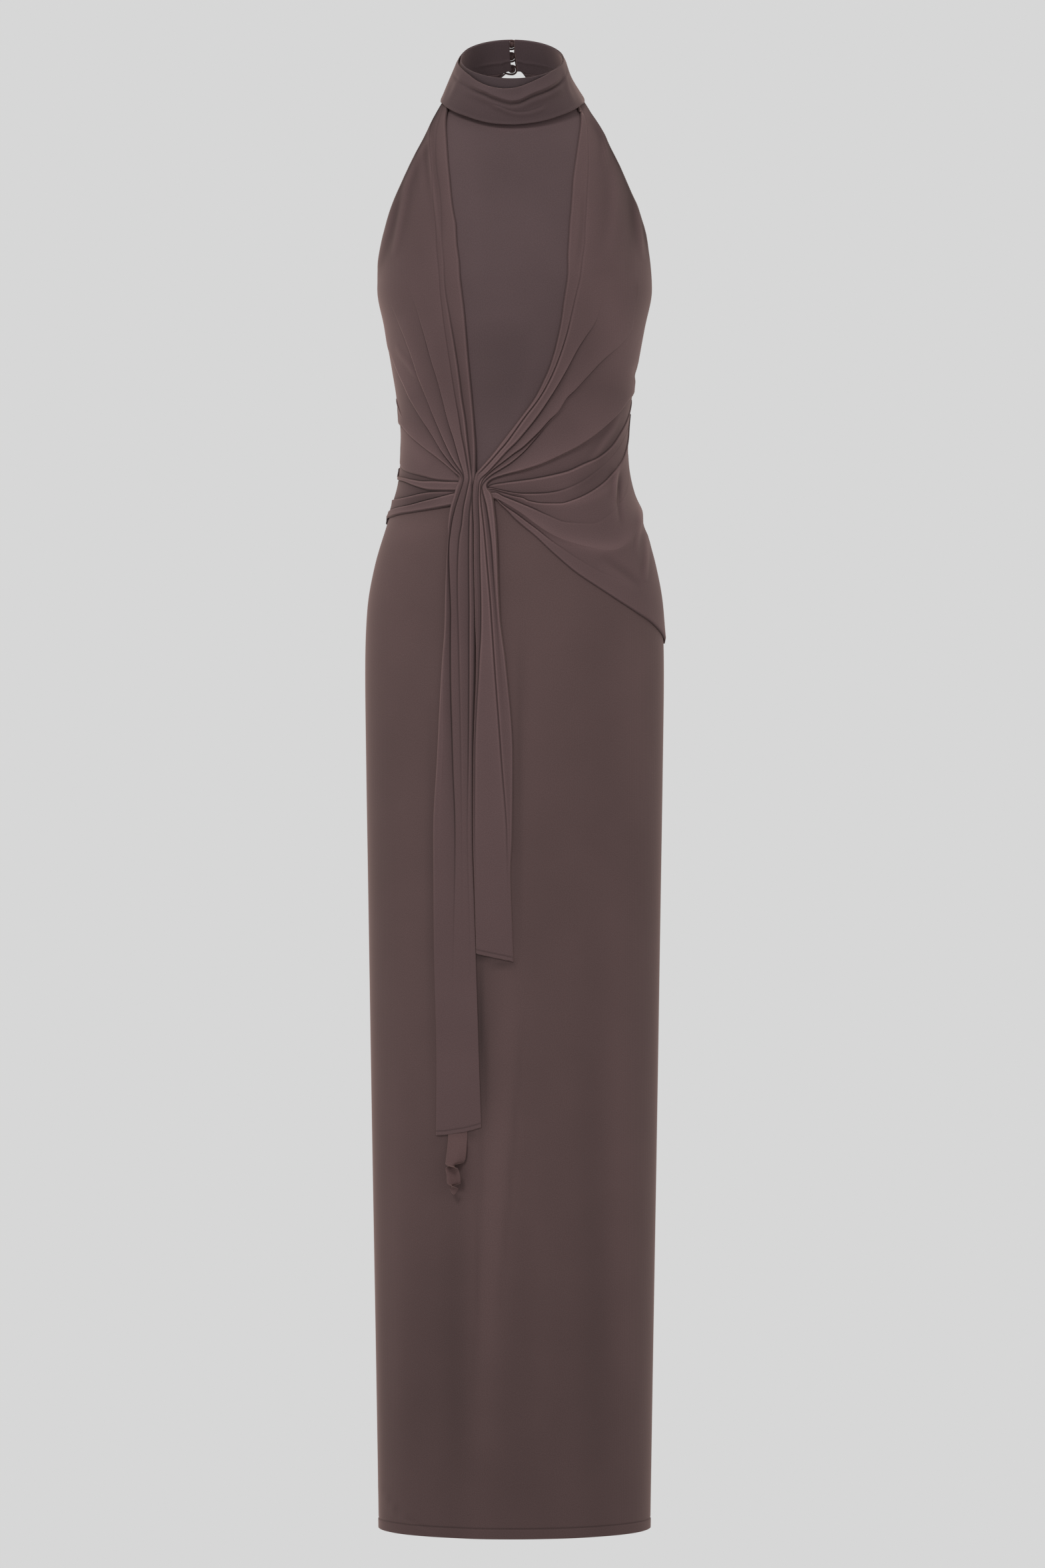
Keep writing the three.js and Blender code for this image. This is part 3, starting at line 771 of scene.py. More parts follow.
@dataclass
class Fan:
    """A drape gathered at the knot, with a fold between each fold line and the next one."""

    name: str
    lines: Sequence[FoldLine]
    seed: float
    fan_steps: int = 150
    tie_steps: int = 0
    cuts: int = 18
    wall: float = 0.85
    folds: Sequence[SoftFold] = ()
    # Patches of painted light and painted shade.
    painted_shading: Sequence[SoftFold] = ()
    # Air under the cloth, and how much more of it there is at the knot.
    lift: float = 0.35
    knot_lift: float = 0.0
    # How far the last fold line stands over the cloth below it.
    over: float = 0.0
    # How far the cloth stands off at the side seam, and how much more at the shoulder.
    side_ease: float = 1.4
    top_ease: float = 0.0
    # Length of the tie's end that has no folds.
    plain: float = 150.0
    # A soft fold gets painted light on its crest, and painted shade spread over this many times its
    # width.
    soft_light: float = 0.26
    soft_dark: float = 0.15
    soft_spread: float = 2.3
    # A fold's greatest height at no width, and its gain for each millimetre of width.
    room: float = 0.3
    room_gain: float = 0.55
    # Share of its width that a fold rolls over in, and that the slit beside it takes.
    roll: float = 0.5
    slit: float = 0.28
    # Where a fold's painted highlight lies beside its line, and how wide it and the painted shade
    # of the crease are.
    crest_away: float = 1.6
    crest_width: float = 0.8
    crest_light: float = 0.17
    crease_dark: float = 0.6
    # Painted light on the higher cloth of a fold, and the bounds of all painted light and shade.
    body_light: float = 0.055
    darkest: float = -0.68
    lightest: float = 0.5

    def build(self) -> tuple[bpy.types.Object, float]:
        """Lofts the drape between its fold lines and raises its folds.

        Returns:
            The piece and its area in square metres.
        """
        courses = np.array([line.course(self.tie_steps, self.fan_steps) for line in self.lines])
        if self.tie_steps:
            courses[..., TALL] *= ease(0.3 * self.plain, self.plain, courses[..., WAY])
        place, height, light, across = self.loft(courses)
        past, left = place[..., PAST], place[..., LEFT]
        height = height + self.raised(past)
        if self.tie_steps:
            # A tie is turned in along both edges and hemmed at its end, with painted shade on the
            # stitches.
            hung = 1 - ease(-10, 6, past)
            free = np.where(across > 0, 0.3 + 0.5 * ease(-60, -150, past), 0.15)
            height = height * (1 - free * hung * np.abs(across) ** 14)
            stitch = hung * TIE_STITCHES.nearness(place[..., WAY])
            height = height - TIE_STITCHES.depth * stitch
            light = light - TIE_STITCHES.shade * stitch
        share, level = np.clip(place[..., SHARE], -EDGE_SHARE, EDGE_SHARE), place[..., LEVEL]
        point = FRONT.point(share, level)
        # Soft folds raise the cloth, with a painted highlight on each crest and painted shade
        # beside it.
        soft = folded(self.folds, point[..., 0], point[..., 2])
        wide = folded(self.folds, point[..., 0], point[..., 2], self.soft_spread)
        height, light = height + soft, light + self.soft_light * soft - self.soft_dark * wide
        # Patches of painted light and painted shade.
        light = light + folded(self.painted_shading, point[..., 0], point[..., 2])
        # The cloth is drawn flat into the side seam, and bound along the armhole.
        sewn = mound(left, 5)
        z = point[..., 2]
        arc = share * FRONT.reach(level)
        aside = (FRONT.end_share(level) - np.abs(share)) * FRONT.reach(level)
        height = height + (self.side_ease + self.top_ease * ease(-50, -5, z)) * np.exp(-aside / 20)
        height = height * (1 - 0.3 * sewn * ease(-345, -300, z))
        height = height * (1 - 0.6 * sewn * ease(-380, -420, z))
        height = height - 0.6 * self.over * mound(left, 14) * ease(-200, -260, z)
        # Painted shade along the armhole, and beside the waist.
        armhole = 0.3 * np.exp(-aside / 4) + 0.32 * np.exp(-aside / 16)
        light = light - armhole * ease(-250, -170, z)
        light = light - 0.22 * np.exp(-aside / 5) * ease(-280, -330, z) * ease(-470, -440, z)
        normal = FRONT.normal(share, level)
        outer = point + normal * (height + self.wall)[..., None]
        inner = point + normal * (height * (1 - sewn) - 0.3 * sewn)[..., None]
        return Sheet(outer, inner, np.stack([arc, z], -1), light).mesh(self.name)

    def loft(self, courses: np.ndarray) -> tuple[np.ndarray, np.ndarray, np.ndarray, np.ndarray]:
        """Fills the cloth in between the courses of the fold lines.

        Args:
            courses: The course of each fold line.

        Returns:
            For each place of the cloth the columns of a course, the height, its painted light and
            shade, and the share of the drape's width, from -1 to 1.
        """
        points = FRONT.point(courses[..., SHARE], courses[..., LEVEL])
        widths = np.linalg.norm(np.diff(points, axis=0), axis=-1)
        total = widths.sum(0)
        steps = (1 - np.cos(np.linspace(0, math.pi, self.cuts + 1))) / 2
        parts = []
        for i, width in enumerate(widths):
            last = i == len(widths) - 1
            s = (steps if last else steps[:-1])[:, None]
            here, there = courses[i], courses[i + 1]
            place = here[None] * (1 - s[..., None]) + there[None] * s[..., None]
            height, light = self.fold(i, here, there, width, s)
            height = height + self.over * (s if last else 0 * s)
            across = 2 * (widths[:i].sum(0) + s * width) / total - 1
            parts.append((place, height, light, across))
        place, height, light, across = (np.concatenate(part) for part in zip(*parts))
        return place, height, light, across

    def raised(self, past: np.ndarray) -> np.ndarray:
        """Gives the air under the cloth: most below the knot, less down the tie and up the drape.

        Args:
            past: Way past the knot, negative on the tie.

        Returns:
            Heights in millimetres.
        """
        fan = self.lift + self.knot_lift * (1 - ease(0, 75, past))
        if not self.tie_steps:
            return fan
        # The tie springs out of the knot, then comes to lie close on the skirt.
        below = 1.3 * ease(4, -30, past) * (1 - ease(-45, -230, past))
        return fan + below - 1.6 * ease(-60, -300, past)

    def shade(self, away: np.ndarray) -> np.ndarray:
        """Gives the painted shadow beside a fold that stands above it, for each mm of height."""
        return 0.11 * np.exp(-away / 3.5) + 0.06 * np.exp(-away / 14)

    def fold(
        self, i: int, here: np.ndarray, there: np.ndarray, width: np.ndarray, s: np.ndarray
    ) -> tuple[np.ndarray, np.ndarray]:
        """Shapes the cloth between two fold lines.

        Args:
            i: Number of the fold.
            here: Course of the inner line.
            there: Course of the outer line.
            width: Distance between the two lines, in millimetres.
            s: Share of the way from the inner line to the outer one.

        Returns:
            Height of the cloth, and the painted light and shade on it, against plain cloth.
        """
        seed = self.seed + 2.17 * i
        near, far = s * width, (1 - s) * width
        room = self.room + self.room_gain * width
        tall, next_tall = here[:, TALL], there[:, TALL]
        # No fold is quite as high all the way.
        uneven = 1 + 0.10 * ripple(here[:, WAY], 85, seed)
        start = np.minimum(tall * here[:, OUTER_LIP], room) * uneven
        end = np.minimum(next_tall * there[:, INNER_LIP], room) * uneven
        roll = np.clip(self.roll * width, 0.4, 13)
        slit = np.clip(self.slit * width, 0.15, 0.95)
        body = start * np.exp(-((near / roll) ** 1.4)) + end * np.exp(-((far / roll) ** 1.4))
        sunk, next_sunk = here[:, SUNK], there[:, SUNK]
        height = body * (1 - sunk * mound(near, slit)) * (1 - next_sunk * mound(far, slit))
        # Fine gathers run across a wide fold, near the knot.
        fine = 0.12 * ripple(near, 7, seed) * np.exp(-np.abs(here[:, PAST]) / 90)
        height = height + fine * ease(2, 9, width) * ease(0, 2, np.minimum(near, far))
        # Painted highlight along the crest of each fold.
        thin = self.crest_width
        top = start * mound(near - self.crest_away, thin) * sunk
        top = top + end * mound(far - self.crest_away, thin) * next_sunk
        # Painted shade: a fold of 1.5 mm or more has a crease of full darkness.
        deep = np.minimum(tall / 1.5, 1) * sunk * mound(near, thin)
        deep = deep + np.minimum(next_tall / 1.5, 1) * next_sunk * mound(far, thin)
        # Painted shadow: the lower cloth beside a line lies in the shade of the higher.
        lower = np.maximum(here[:, INNER_LIP] - here[:, OUTER_LIP], 0)
        next_lower = np.maximum(there[:, OUTER_LIP] - there[:, INNER_LIP], 0)
        shadow = tall * lower * self.shade(near) + next_tall * next_lower * self.shade(far)
        light = self.crest_light * top - self.crease_dark * deep - shadow
        # Higher cloth gets more painted light.
        light = light + self.body_light * (body - 0.5)
        return height, np.clip(light, self.darkest, self.lightest)


# The left drape from its inner edge outwards: each line up the drape, then its tie.
LEFT_UPPER = (
    FoldLine(
        (
            (-40.1, -400.2, 1.4), (-39.8, -388.9, 2), (-40.1, -371.4, 2.2), (-41.5, -351.8, 2.2),
            (-43.9, -323.1, 2), (-47.8, -282.1, 1.7), (-50.7, -247.8, 1.4), (-53.6, -219.4, 1.2),
            (-57.1, -184.4, 1.1), (-60.6, -148, 1), (-63, -130, 1), (-66.6, -102.2, 1),
            (-69.1, -75.6, 1), (-71.9, -12.8, 1), (-70, -3, 1), (-67, 2.5, 0.8),
        ),
        (
            (-34.9, -1087.5, 0.4), (-37.7, -1005, 0.4), (-41.2, -889, 0.4), (-44.3, -781, 0.6),
            (-44, -697, 1), (-41.5, -604, 1.6), (-40.8, -552, 2), (-41.8, -457.2, 2.4),
            (-42.6, -438.2, 2.4), (-42.6, -423.4, 2.2), (-42.1, -413.6, 1.8), (-41, -406.6, 1.4),
        ),
        Lip.OUTER, Lip.INNER,
    ),
    FoldLine(
        (
            (-44.2, -400.2, 1.6), (-45.8, -386.7, 2.6), (-48.2, -367, 2.8), (-51.1, -342.5, 2.4),
            (-54.4, -321.7, 2.2), (-58.4, -290.7, 1.8), (-62.4, -264.6, 1.4), (-66.4, -241.8, 1.1),
            (-70.4, -218.8, 0.8), (-72.8, -195.7, 0.6), (-74, -171.6, 0.4), (-75.9, -141.6, 0.3),
            (-77.8, -106, 0.3), (-80.3, -30.3, 0.3), (-76, -10, 0.2), (-70, 3, 0.2),
        ),
        (
            (-41, -1089.5, 0.2), (-44, -1005, 0.2), (-46.5, -889, 0.3), (-49, -781, 0.4),
            (-48, -697, 1.2), (-47, -604, 2.2), (-46.6, -552, 2.6), (-46.5, -471.3, 2.6),
            (-46.2, -455.8, 2.6), (-45.4, -438.9, 2.6), (-43.7, -424.8, 2.2), (-43.6, -415, 1.4),
            (-43.5, -406.5, 1.2),
        ),
        Lip.OUTER, Lip.INNER,
    ),
    FoldLine(
        (
            (-46.9, -402.9, 1.4), (-48.6, -392.3, 1.4), (-51.4, -376.8, 1.3), (-55, -359.8, 1.2),
            (-58.3, -339.6, 1), (-62.6, -315.7, 0.8), (-67.1, -287, 0.7), (-70.6, -264.2, 0.6),
            (-74.6, -235.6, 0.6), (-78, -201.1, 0.5), (-81.1, -164.9, 0.5), (-83.6, -127.5, 0.5),
            (-85.6, -92.3, 0.5), (-87.1, -68.4, 0.6), (-86.6, -23.3, 0.5), (-78, -6, 0.3),
            (-999, 4, 0.2),
        ),
        (
            (-52, -1092.5, 0.1), (-53, -1007, 0.1), (-54, -889, 0.1), (-55, -781, 0.2),
            (-56, -697, 0.5), (-57.5, -604, 0.8), (-58.4, -552, 0.9), (-56.8, -471.1, 1.4),
            (-54.1, -455.7, 1.8), (-52, -438.1, 2.2), (-49.4, -424.7, 2.4), (-47.6, -414.9, 2.2),
            (-46.6, -407.9, 1.6),
        ),
        Lip.OUTER, Lip.INNER,
    ),
    FoldLine(
        (
            (-52, -403.5, 1.4), (-54.2, -395, 1.8), (-57.2, -385.1, 2.2), (-62.2, -366.9, 2.6),
            (-68, -349, 2.4), (-73.7, -326.8, 2.2), (-80.1, -302.4, 1.9), (-85.9, -284, 1.7),
            (-90.5, -268.9, 1.4), (-95.2, -251.6, 1), (-98.7, -239.9, 0.7), (-103.7, -223, 0.3),
            (-112.3, -200.1, 0.1), (-122.4, -170.6, 0), (-129.9, -140.7, 0), (-999, -112, 0),
        ),
        (
            (-64, -1094.5, 0), (-63, -1007, 0.2), (-62, -889, 0.3), (-60.4, -781, 0.6),
            (-62.8, -697, 1.6), (-64.8, -604, 2.2), (-64.4, -552, 2.6), (-65.2, -471, 2.6),
            (-63.1, -455.5, 2.6), (-59.1, -438, 2.6), (-55.3, -424.6, 2.4), (-52.6, -414.8, 1.8),
            (-51.6, -408.5, 1.4),
        ),
        Lip.INNER, Lip.CREST,
    ),
    FoldLine(
        (
            (-53.3, -402.8, 1.8), (-57, -396.5, 2.4), (-62.7, -387.6, 2.8), (-68, -377.6, 2.8),
            (-75.9, -360.1, 2.6), (-84.6, -339.7, 2.4), (-92.5, -318.6, 2.2),
            (-100.2, -298.8, 1.9), (-106, -281.3, 1.6), (-111.9, -264.9, 1.3), (-116.6, -253, 0.9),
            (-121.2, -241.8, 0.4), (-128.4, -223.7, 0.1), (-135.6, -200.5, 0), (-999, -175, 0),
        ),
        (
            (-66, -1095, 0.2), (-65, -1007, 0.3), (-63.4, -889, 0.5), (-61.6, -781, 1.2),
            (-64.2, -697, 2.4), (-66.2, -604, 2.8), (-65.6, -552, 2.8), (-66.2, -471, 2.8),
            (-64, -455.5, 2.8), (-60.2, -438, 2.8), (-56.3, -424.6, 2.6), (-53.6, -414.8, 2),
            (-52.3, -408.5, 1.6),
        ),
        Lip.INNER, Lip.INNER,
    ),
    FoldLine(
        (
            (-54.9, -404.3, 1.2), (-59.4, -398.3, 2.2), (-66.2, -389.8, 2.8), (-75, -377.7, 2.8),
            (-84.7, -361.1, 2.6), (-97.7, -340.3, 2.4), (-108, -321.5, 2.2), (-115.9, -304.1, 1.9),
            (-123.2, -288.1, 1.6), (-128, -275.7, 1.3), (-132.2, -264, 0.9), (-138.1, -247.9, 0.3),
            (-999, -250, 0),
        ),
        (
            (-73, -1096, 0.2), (-73, -1007, 0.2), (-76, -889, 0.4), (-77, -781, 0.8),
            (-74.4, -697, 1.6), (-72.8, -604, 2), (-69.6, -552, 2), (-67.5, -471, 1.6),
            (-66.1, -455.5, 1.4), (-63, -437.9, 1.2), (-59.4, -424.5, 1), (-56.3, -414.7, 0.8),
            (-54.3, -409.1, 0.8),
        ),
        Lip.INNER, Lip.CREST,
    ),
    FoldLine(
        (
            (-56.4, -406.1, 1.8), (-61.7, -400.3, 2.4), (-70.4, -391.8, 2.8), (-81, -382.8, 2.6),
            (-93.4, -372.8, 2.4), (-105.2, -361.8, 2.2), (-115.7, -348.9, 1.8),
            (-121, -341.1, 1.5), (-999, -322, 1),
        ),
        (
            (-82.1, -1096.7, 0.6), (-81.7, -1009, 0.6), (-84.5, -889, 0.8), (-85.2, -781, 1.2),
            (-81, -697, 2), (-76.1, -604, 2.4), (-72.6, -552, 2.6), (-68.6, -470.9, 2.6),
            (-68.2, -455.4, 2.6), (-66.1, -439.2, 2.6), (-63, -428.4, 2.4), (-59.8, -415.4, 2),
            (-57.1, -409.3, 1.6),
        ),
        Lip.INNER, Lip.INNER,
    ),
)
# The gathers that run from the knot to the left side seam.
LEFT_LOWER = (
    FoldLine(
        (
            (-47.6, -410.7, 0), (-57.4, -402, 0), (-70.2, -386.1, 0), (-80.8, -376.5, 0),
            (-92.9, -366, 0), (-103.7, -354.7, 0.4), (-113.2, -343.8, 1.3), (-999, -316, 2.2),
        ),
        lip=Lip.CREST,
    ),
    FoldLine(
        (
            (-48.3, -412.8, 0.3), (-57.4, -409.1, 0.6), (-67.3, -408.4, 0.8), (-77.9, -407.5, 1.2),
            (-85.7, -406, 1.4), (-95.7, -402.7, 1.4), (-108.8, -398.2, 1.2), (-117.7, -392.7, 1),
            (-122.4, -384.5, 1), (-999, -372, 1),
        ),
        lip=Lip.INNER,
    ),
    FoldLine(
        (
            (-49, -414.2, 0.5), (-58, -409.7, 2), (-70, -409.2, 2.2), (-82.7, -408.1, 2.4),
            (-95.4, -407.6, 2.6), (-107, -405.2, 2.6), (-116.2, -402, 2.6), (-121.7, -398.4, 2.4),
            (-999, -390, 2.4),
        ),
        lip=Lip.OUTER,
    ),
    FoldLine(
        (
            (-49.7, -419.8, 0.5), (-61.2, -419.2, 1.6), (-76.3, -418.7, 1.9), (-89, -417.7, 2.2),
            (-97.9, -415.1, 2.3), (-106.9, -411.3, 2.3), (-116.1, -406.5, 2.2), (-123.1, -403, 2),
            (-999, -402, 2),
        ),
        lip=Lip.INNER,
    ),
    FoldLine(
        (
            (-50.4, -421.2, 0.4), (-61.6, -420, 1.2), (-76.1, -419.6, 1.5), (-85.7, -419.7, 2),
            (-92.2, -420.1, 2.2), (-101.8, -421.5, 2.4), (-110.8, -423.2, 2.4),
            (-121.3, -424.5, 2.2), (-128.1, -424.5, 2), (-999, -424, 1.9),
        ),
        lip=Lip.OUTER,
    ),
    FoldLine(
        (
            (-51.1, -419.8, 0.5), (-62.4, -421.7, 2.2), (-74.4, -424.6, 2.4), (-85.2, -427.1, 2.4),
            (-95.3, -429.2, 2.4), (-105.6, -431.6, 2.4), (-114.6, -433.3, 2.3),
            (-123.8, -434.4, 2), (-130.5, -436.5, 1.8), (-999, -438, 1.6),
        ),
        lip=Lip.OUTER,
    ),
    FoldLine(
        (
            (-52.4, -433.9, 0.4), (-64.9, -434.6, 1.4), (-79.4, -436.8, 1.6), (-92.1, -438.6, 1.6),
            (-108, -440.5, 1.6), (-119.7, -441.6, 1.6), (-128.2, -443.1, 1.6),
            (-135.2, -445, 1.3), (-138.8, -447.2, 1.1), (-999, -450, 0.8),
        ),
        lip=Lip.INNER,
    ),
)
# The right drape from its inner edge outwards, with its tie.
RIGHT_UPPER = (
    FoldLine(
        (
            (-39.1, -401.4, 1.6), (-35.4, -396.5, 2), (-23.8, -382.5, 2.2), (-11.6, -365.8, 2.2),
            (7.1, -341.1, 2), (21.4, -321.2, 1.9), (31.3, -301.8, 1.8), (37.1, -288, 1.7),
            (42.9, -268.5, 1.5), (48.6, -242.4, 1.2), (52.7, -213.6, 1), (55.6, -172.7, 1),
            (57.4, -143.1, 1), (60.3, -106.9, 1), (63.3, -75.9, 1), (69, -11.6, 1), (67.5, -3, 1),
            (65, 2.5, 0.8),
        ),
        (
            (-39.6, -905, 0.2), (-41.7, -822, 0.2), (-42.8, -781, 0.3), (-42.5, -697, 0.4),
            (-39.3, -604, 1), (-40, -552, 2.2), (-41.2, -457.3, 2.6), (-42, -438.2, 2.6),
            (-42.1, -423.4, 2.4), (-41.5, -413.6, 2), (-40.5, -407, 1.6),
        ),
        Lip.OUTER, Lip.CREST,
    ),
    FoldLine(
        (
            (-37.7, -403.4, 1.2), (-32.5, -398.1, 2), (-23.8, -388.4, 2.4), (-16.2, -379.1, 2.6),
            (-6.1, -366.5, 2.8), (10.1, -343.1, 2.8), (25.5, -322.3, 2.6), (37.1, -301.7, 2.2),
            (46.3, -279.9, 1.8), (54.5, -254.7, 1.4), (59.6, -234, 1), (66, -207.3, 0.7),
            (70.7, -178.2, 0.5), (74.3, -135.2, 0.4), (75.8, -106.1, 0.4), (77.4, -69.1, 0.4),
            (76.3, -37.1, 0.3), (74, -15.3, 0.2), (68, 2, 0.2),
        ),
        (
            (-39, -905.3, 0), (-41.1, -822, 0), (-42.2, -781, 0), (-41.9, -697, 0), (-38, -604, 0),
            (-37.6, -552, 0.1), (-38.8, -457.3, 0.2), (-39.7, -438.3, 0.3), (-39.7, -423.5, 0.4),
            (-39.1, -415, 0.6), (-38.7, -408.7, 0.9),
        ),
        Lip.BOTH, Lip.CREST,
    ),
    FoldLine(
        (
            (-34.5, -408, 1.6), (-26.1, -400.1, 2.4), (-18, -391, 2.8), (-6.9, -378.1, 3),
            (4.6, -366, 3.2), (21.7, -344.4, 3.2), (35.4, -324.2, 3), (46.4, -306.4, 2.6),
            (55.7, -290.1, 2.2), (66.1, -270.6, 1.6), (75.4, -256.1, 1), (84.7, -242.3, 0.4),
            (91.1, -222.6, 0.1), (93.9, -184, 0), (92.7, -134.1, 0), (90.8, -83.1, 0),
            (85.5, -41.6, 0), (79, -12, 0), (999, 3, 0),
        ),
        (
            (-38.4, -905.6, 0.4), (-40.5, -822, 0.6), (-41.6, -781, 0.8), (-41.3, -697, 1.4),
            (-36.8, -604, 2), (-34.4, -552, 2.6), (-35.6, -457.3, 3), (-36.4, -438.3, 3),
            (-36.7, -425.6, 2.8), (-36.3, -417.2, 2.4), (-36, -411.9, 1.8),
        ),
        Lip.INNER, Lip.OUTER,
    ),
    FoldLine(
        (
            (-32.4, -408.5, 1.6), (-23.8, -399.3, 2.4), (-12.2, -390.2, 2.8), (-0.5, -380.8, 3),
            (9.2, -373.6, 3.2), (23.9, -359, 3.2), (35.1, -346.3, 3), (44.9, -336.4, 2.8),
            (53.3, -322.9, 2.4), (63.9, -312.3, 2), (75.5, -299.3, 1.6), (89.6, -283.8, 1.2),
            (100.1, -273.9, 0.8), (113.2, -261.4, 0.3), (124.2, -243.4, 0.1), (129, -208.5, 0),
            (999, -112, 0),
        ),
        (
            (-8, -912, 0.2), (-7.4, -822, 0.5), (-8, -781, 1), (-13.9, -697, 1.6),
            (-20.5, -604, 2.4), (-25, -533, 2.6), (-29.3, -480.5, 2.6), (-31.4, -457.3, 2.6),
            (-32.6, -446.1, 2.6), (-34.1, -434.1, 2.4), (-34.8, -422.8, 2.2), (-34.5, -415.1, 1.6),
        ),
        Lip.INNER, Lip.BOTH,
    ),
    FoldLine(
        (
            (-31, -410.9, 1.4), (-23.8, -404.1, 2), (-13.9, -397.7, 2.6), (-3.5, -390.7, 2.8),
            (9.2, -379.1, 2.8), (17.6, -369.5, 2.4), (25.3, -360.4, 1.6), (35.1, -349.1, 0.6),
            (53.4, -332.1, 0.1), (79.4, -315.9, 0), (104.2, -290.3, 0), (125.9, -263.5, 0),
            (999, -200, 0),
        ),
        (
            (-5, -912.5, 0), (-5.6, -822, 0), (-5, -781, 0), (-8, -697, 0), (-14.6, -604, 0.2),
            (-19.8, -533, 0.8), (-23.2, -480.6, 1.8), (-25.5, -457.4, 2.4), (-27, -446.1, 2.4),
            (-29, -434.2, 2.4), (-32.1, -422.9, 2), (-33.4, -416.2, 1.6),
        ),
        Lip.INNER, Lip.OUTER,
    ),
    FoldLine(
        (
            (-28.5, -414.5, 1.4), (-23.8, -408.6, 1.8), (-12.1, -404.3, 2.4), (-0.5, -401.2, 2.8),
            (10.1, -398.4, 3), (27.5, -392.4, 3), (45, -384, 2.8), (62.5, -374.3, 2.6),
            (80.1, -361.9, 2.4), (95.5, -348.3, 2.2), (107.4, -335.7, 2), (118.2, -320.5, 1.8),
            (124.5, -309.1, 1.6), (999, -306, 1.2),
        ),
        (
            (-1.3, -913.5, 0.6), (-4.1, -822, 0.8), (-2.3, -781, 1), (-1.3, -697, 1.4),
            (-8.3, -604, 2), (-14.6, -552, 2.4), (-17.4, -485.5, 2.6), (-18.8, -457.4, 2.6),
            (-20.2, -442, 2.6), (-21.5, -430.7, 2.4), (-23.4, -423.3, 2), (-27.2, -418.3, 1.6),
        ),
        Lip.INNER, Lip.INNER,
    ),
)
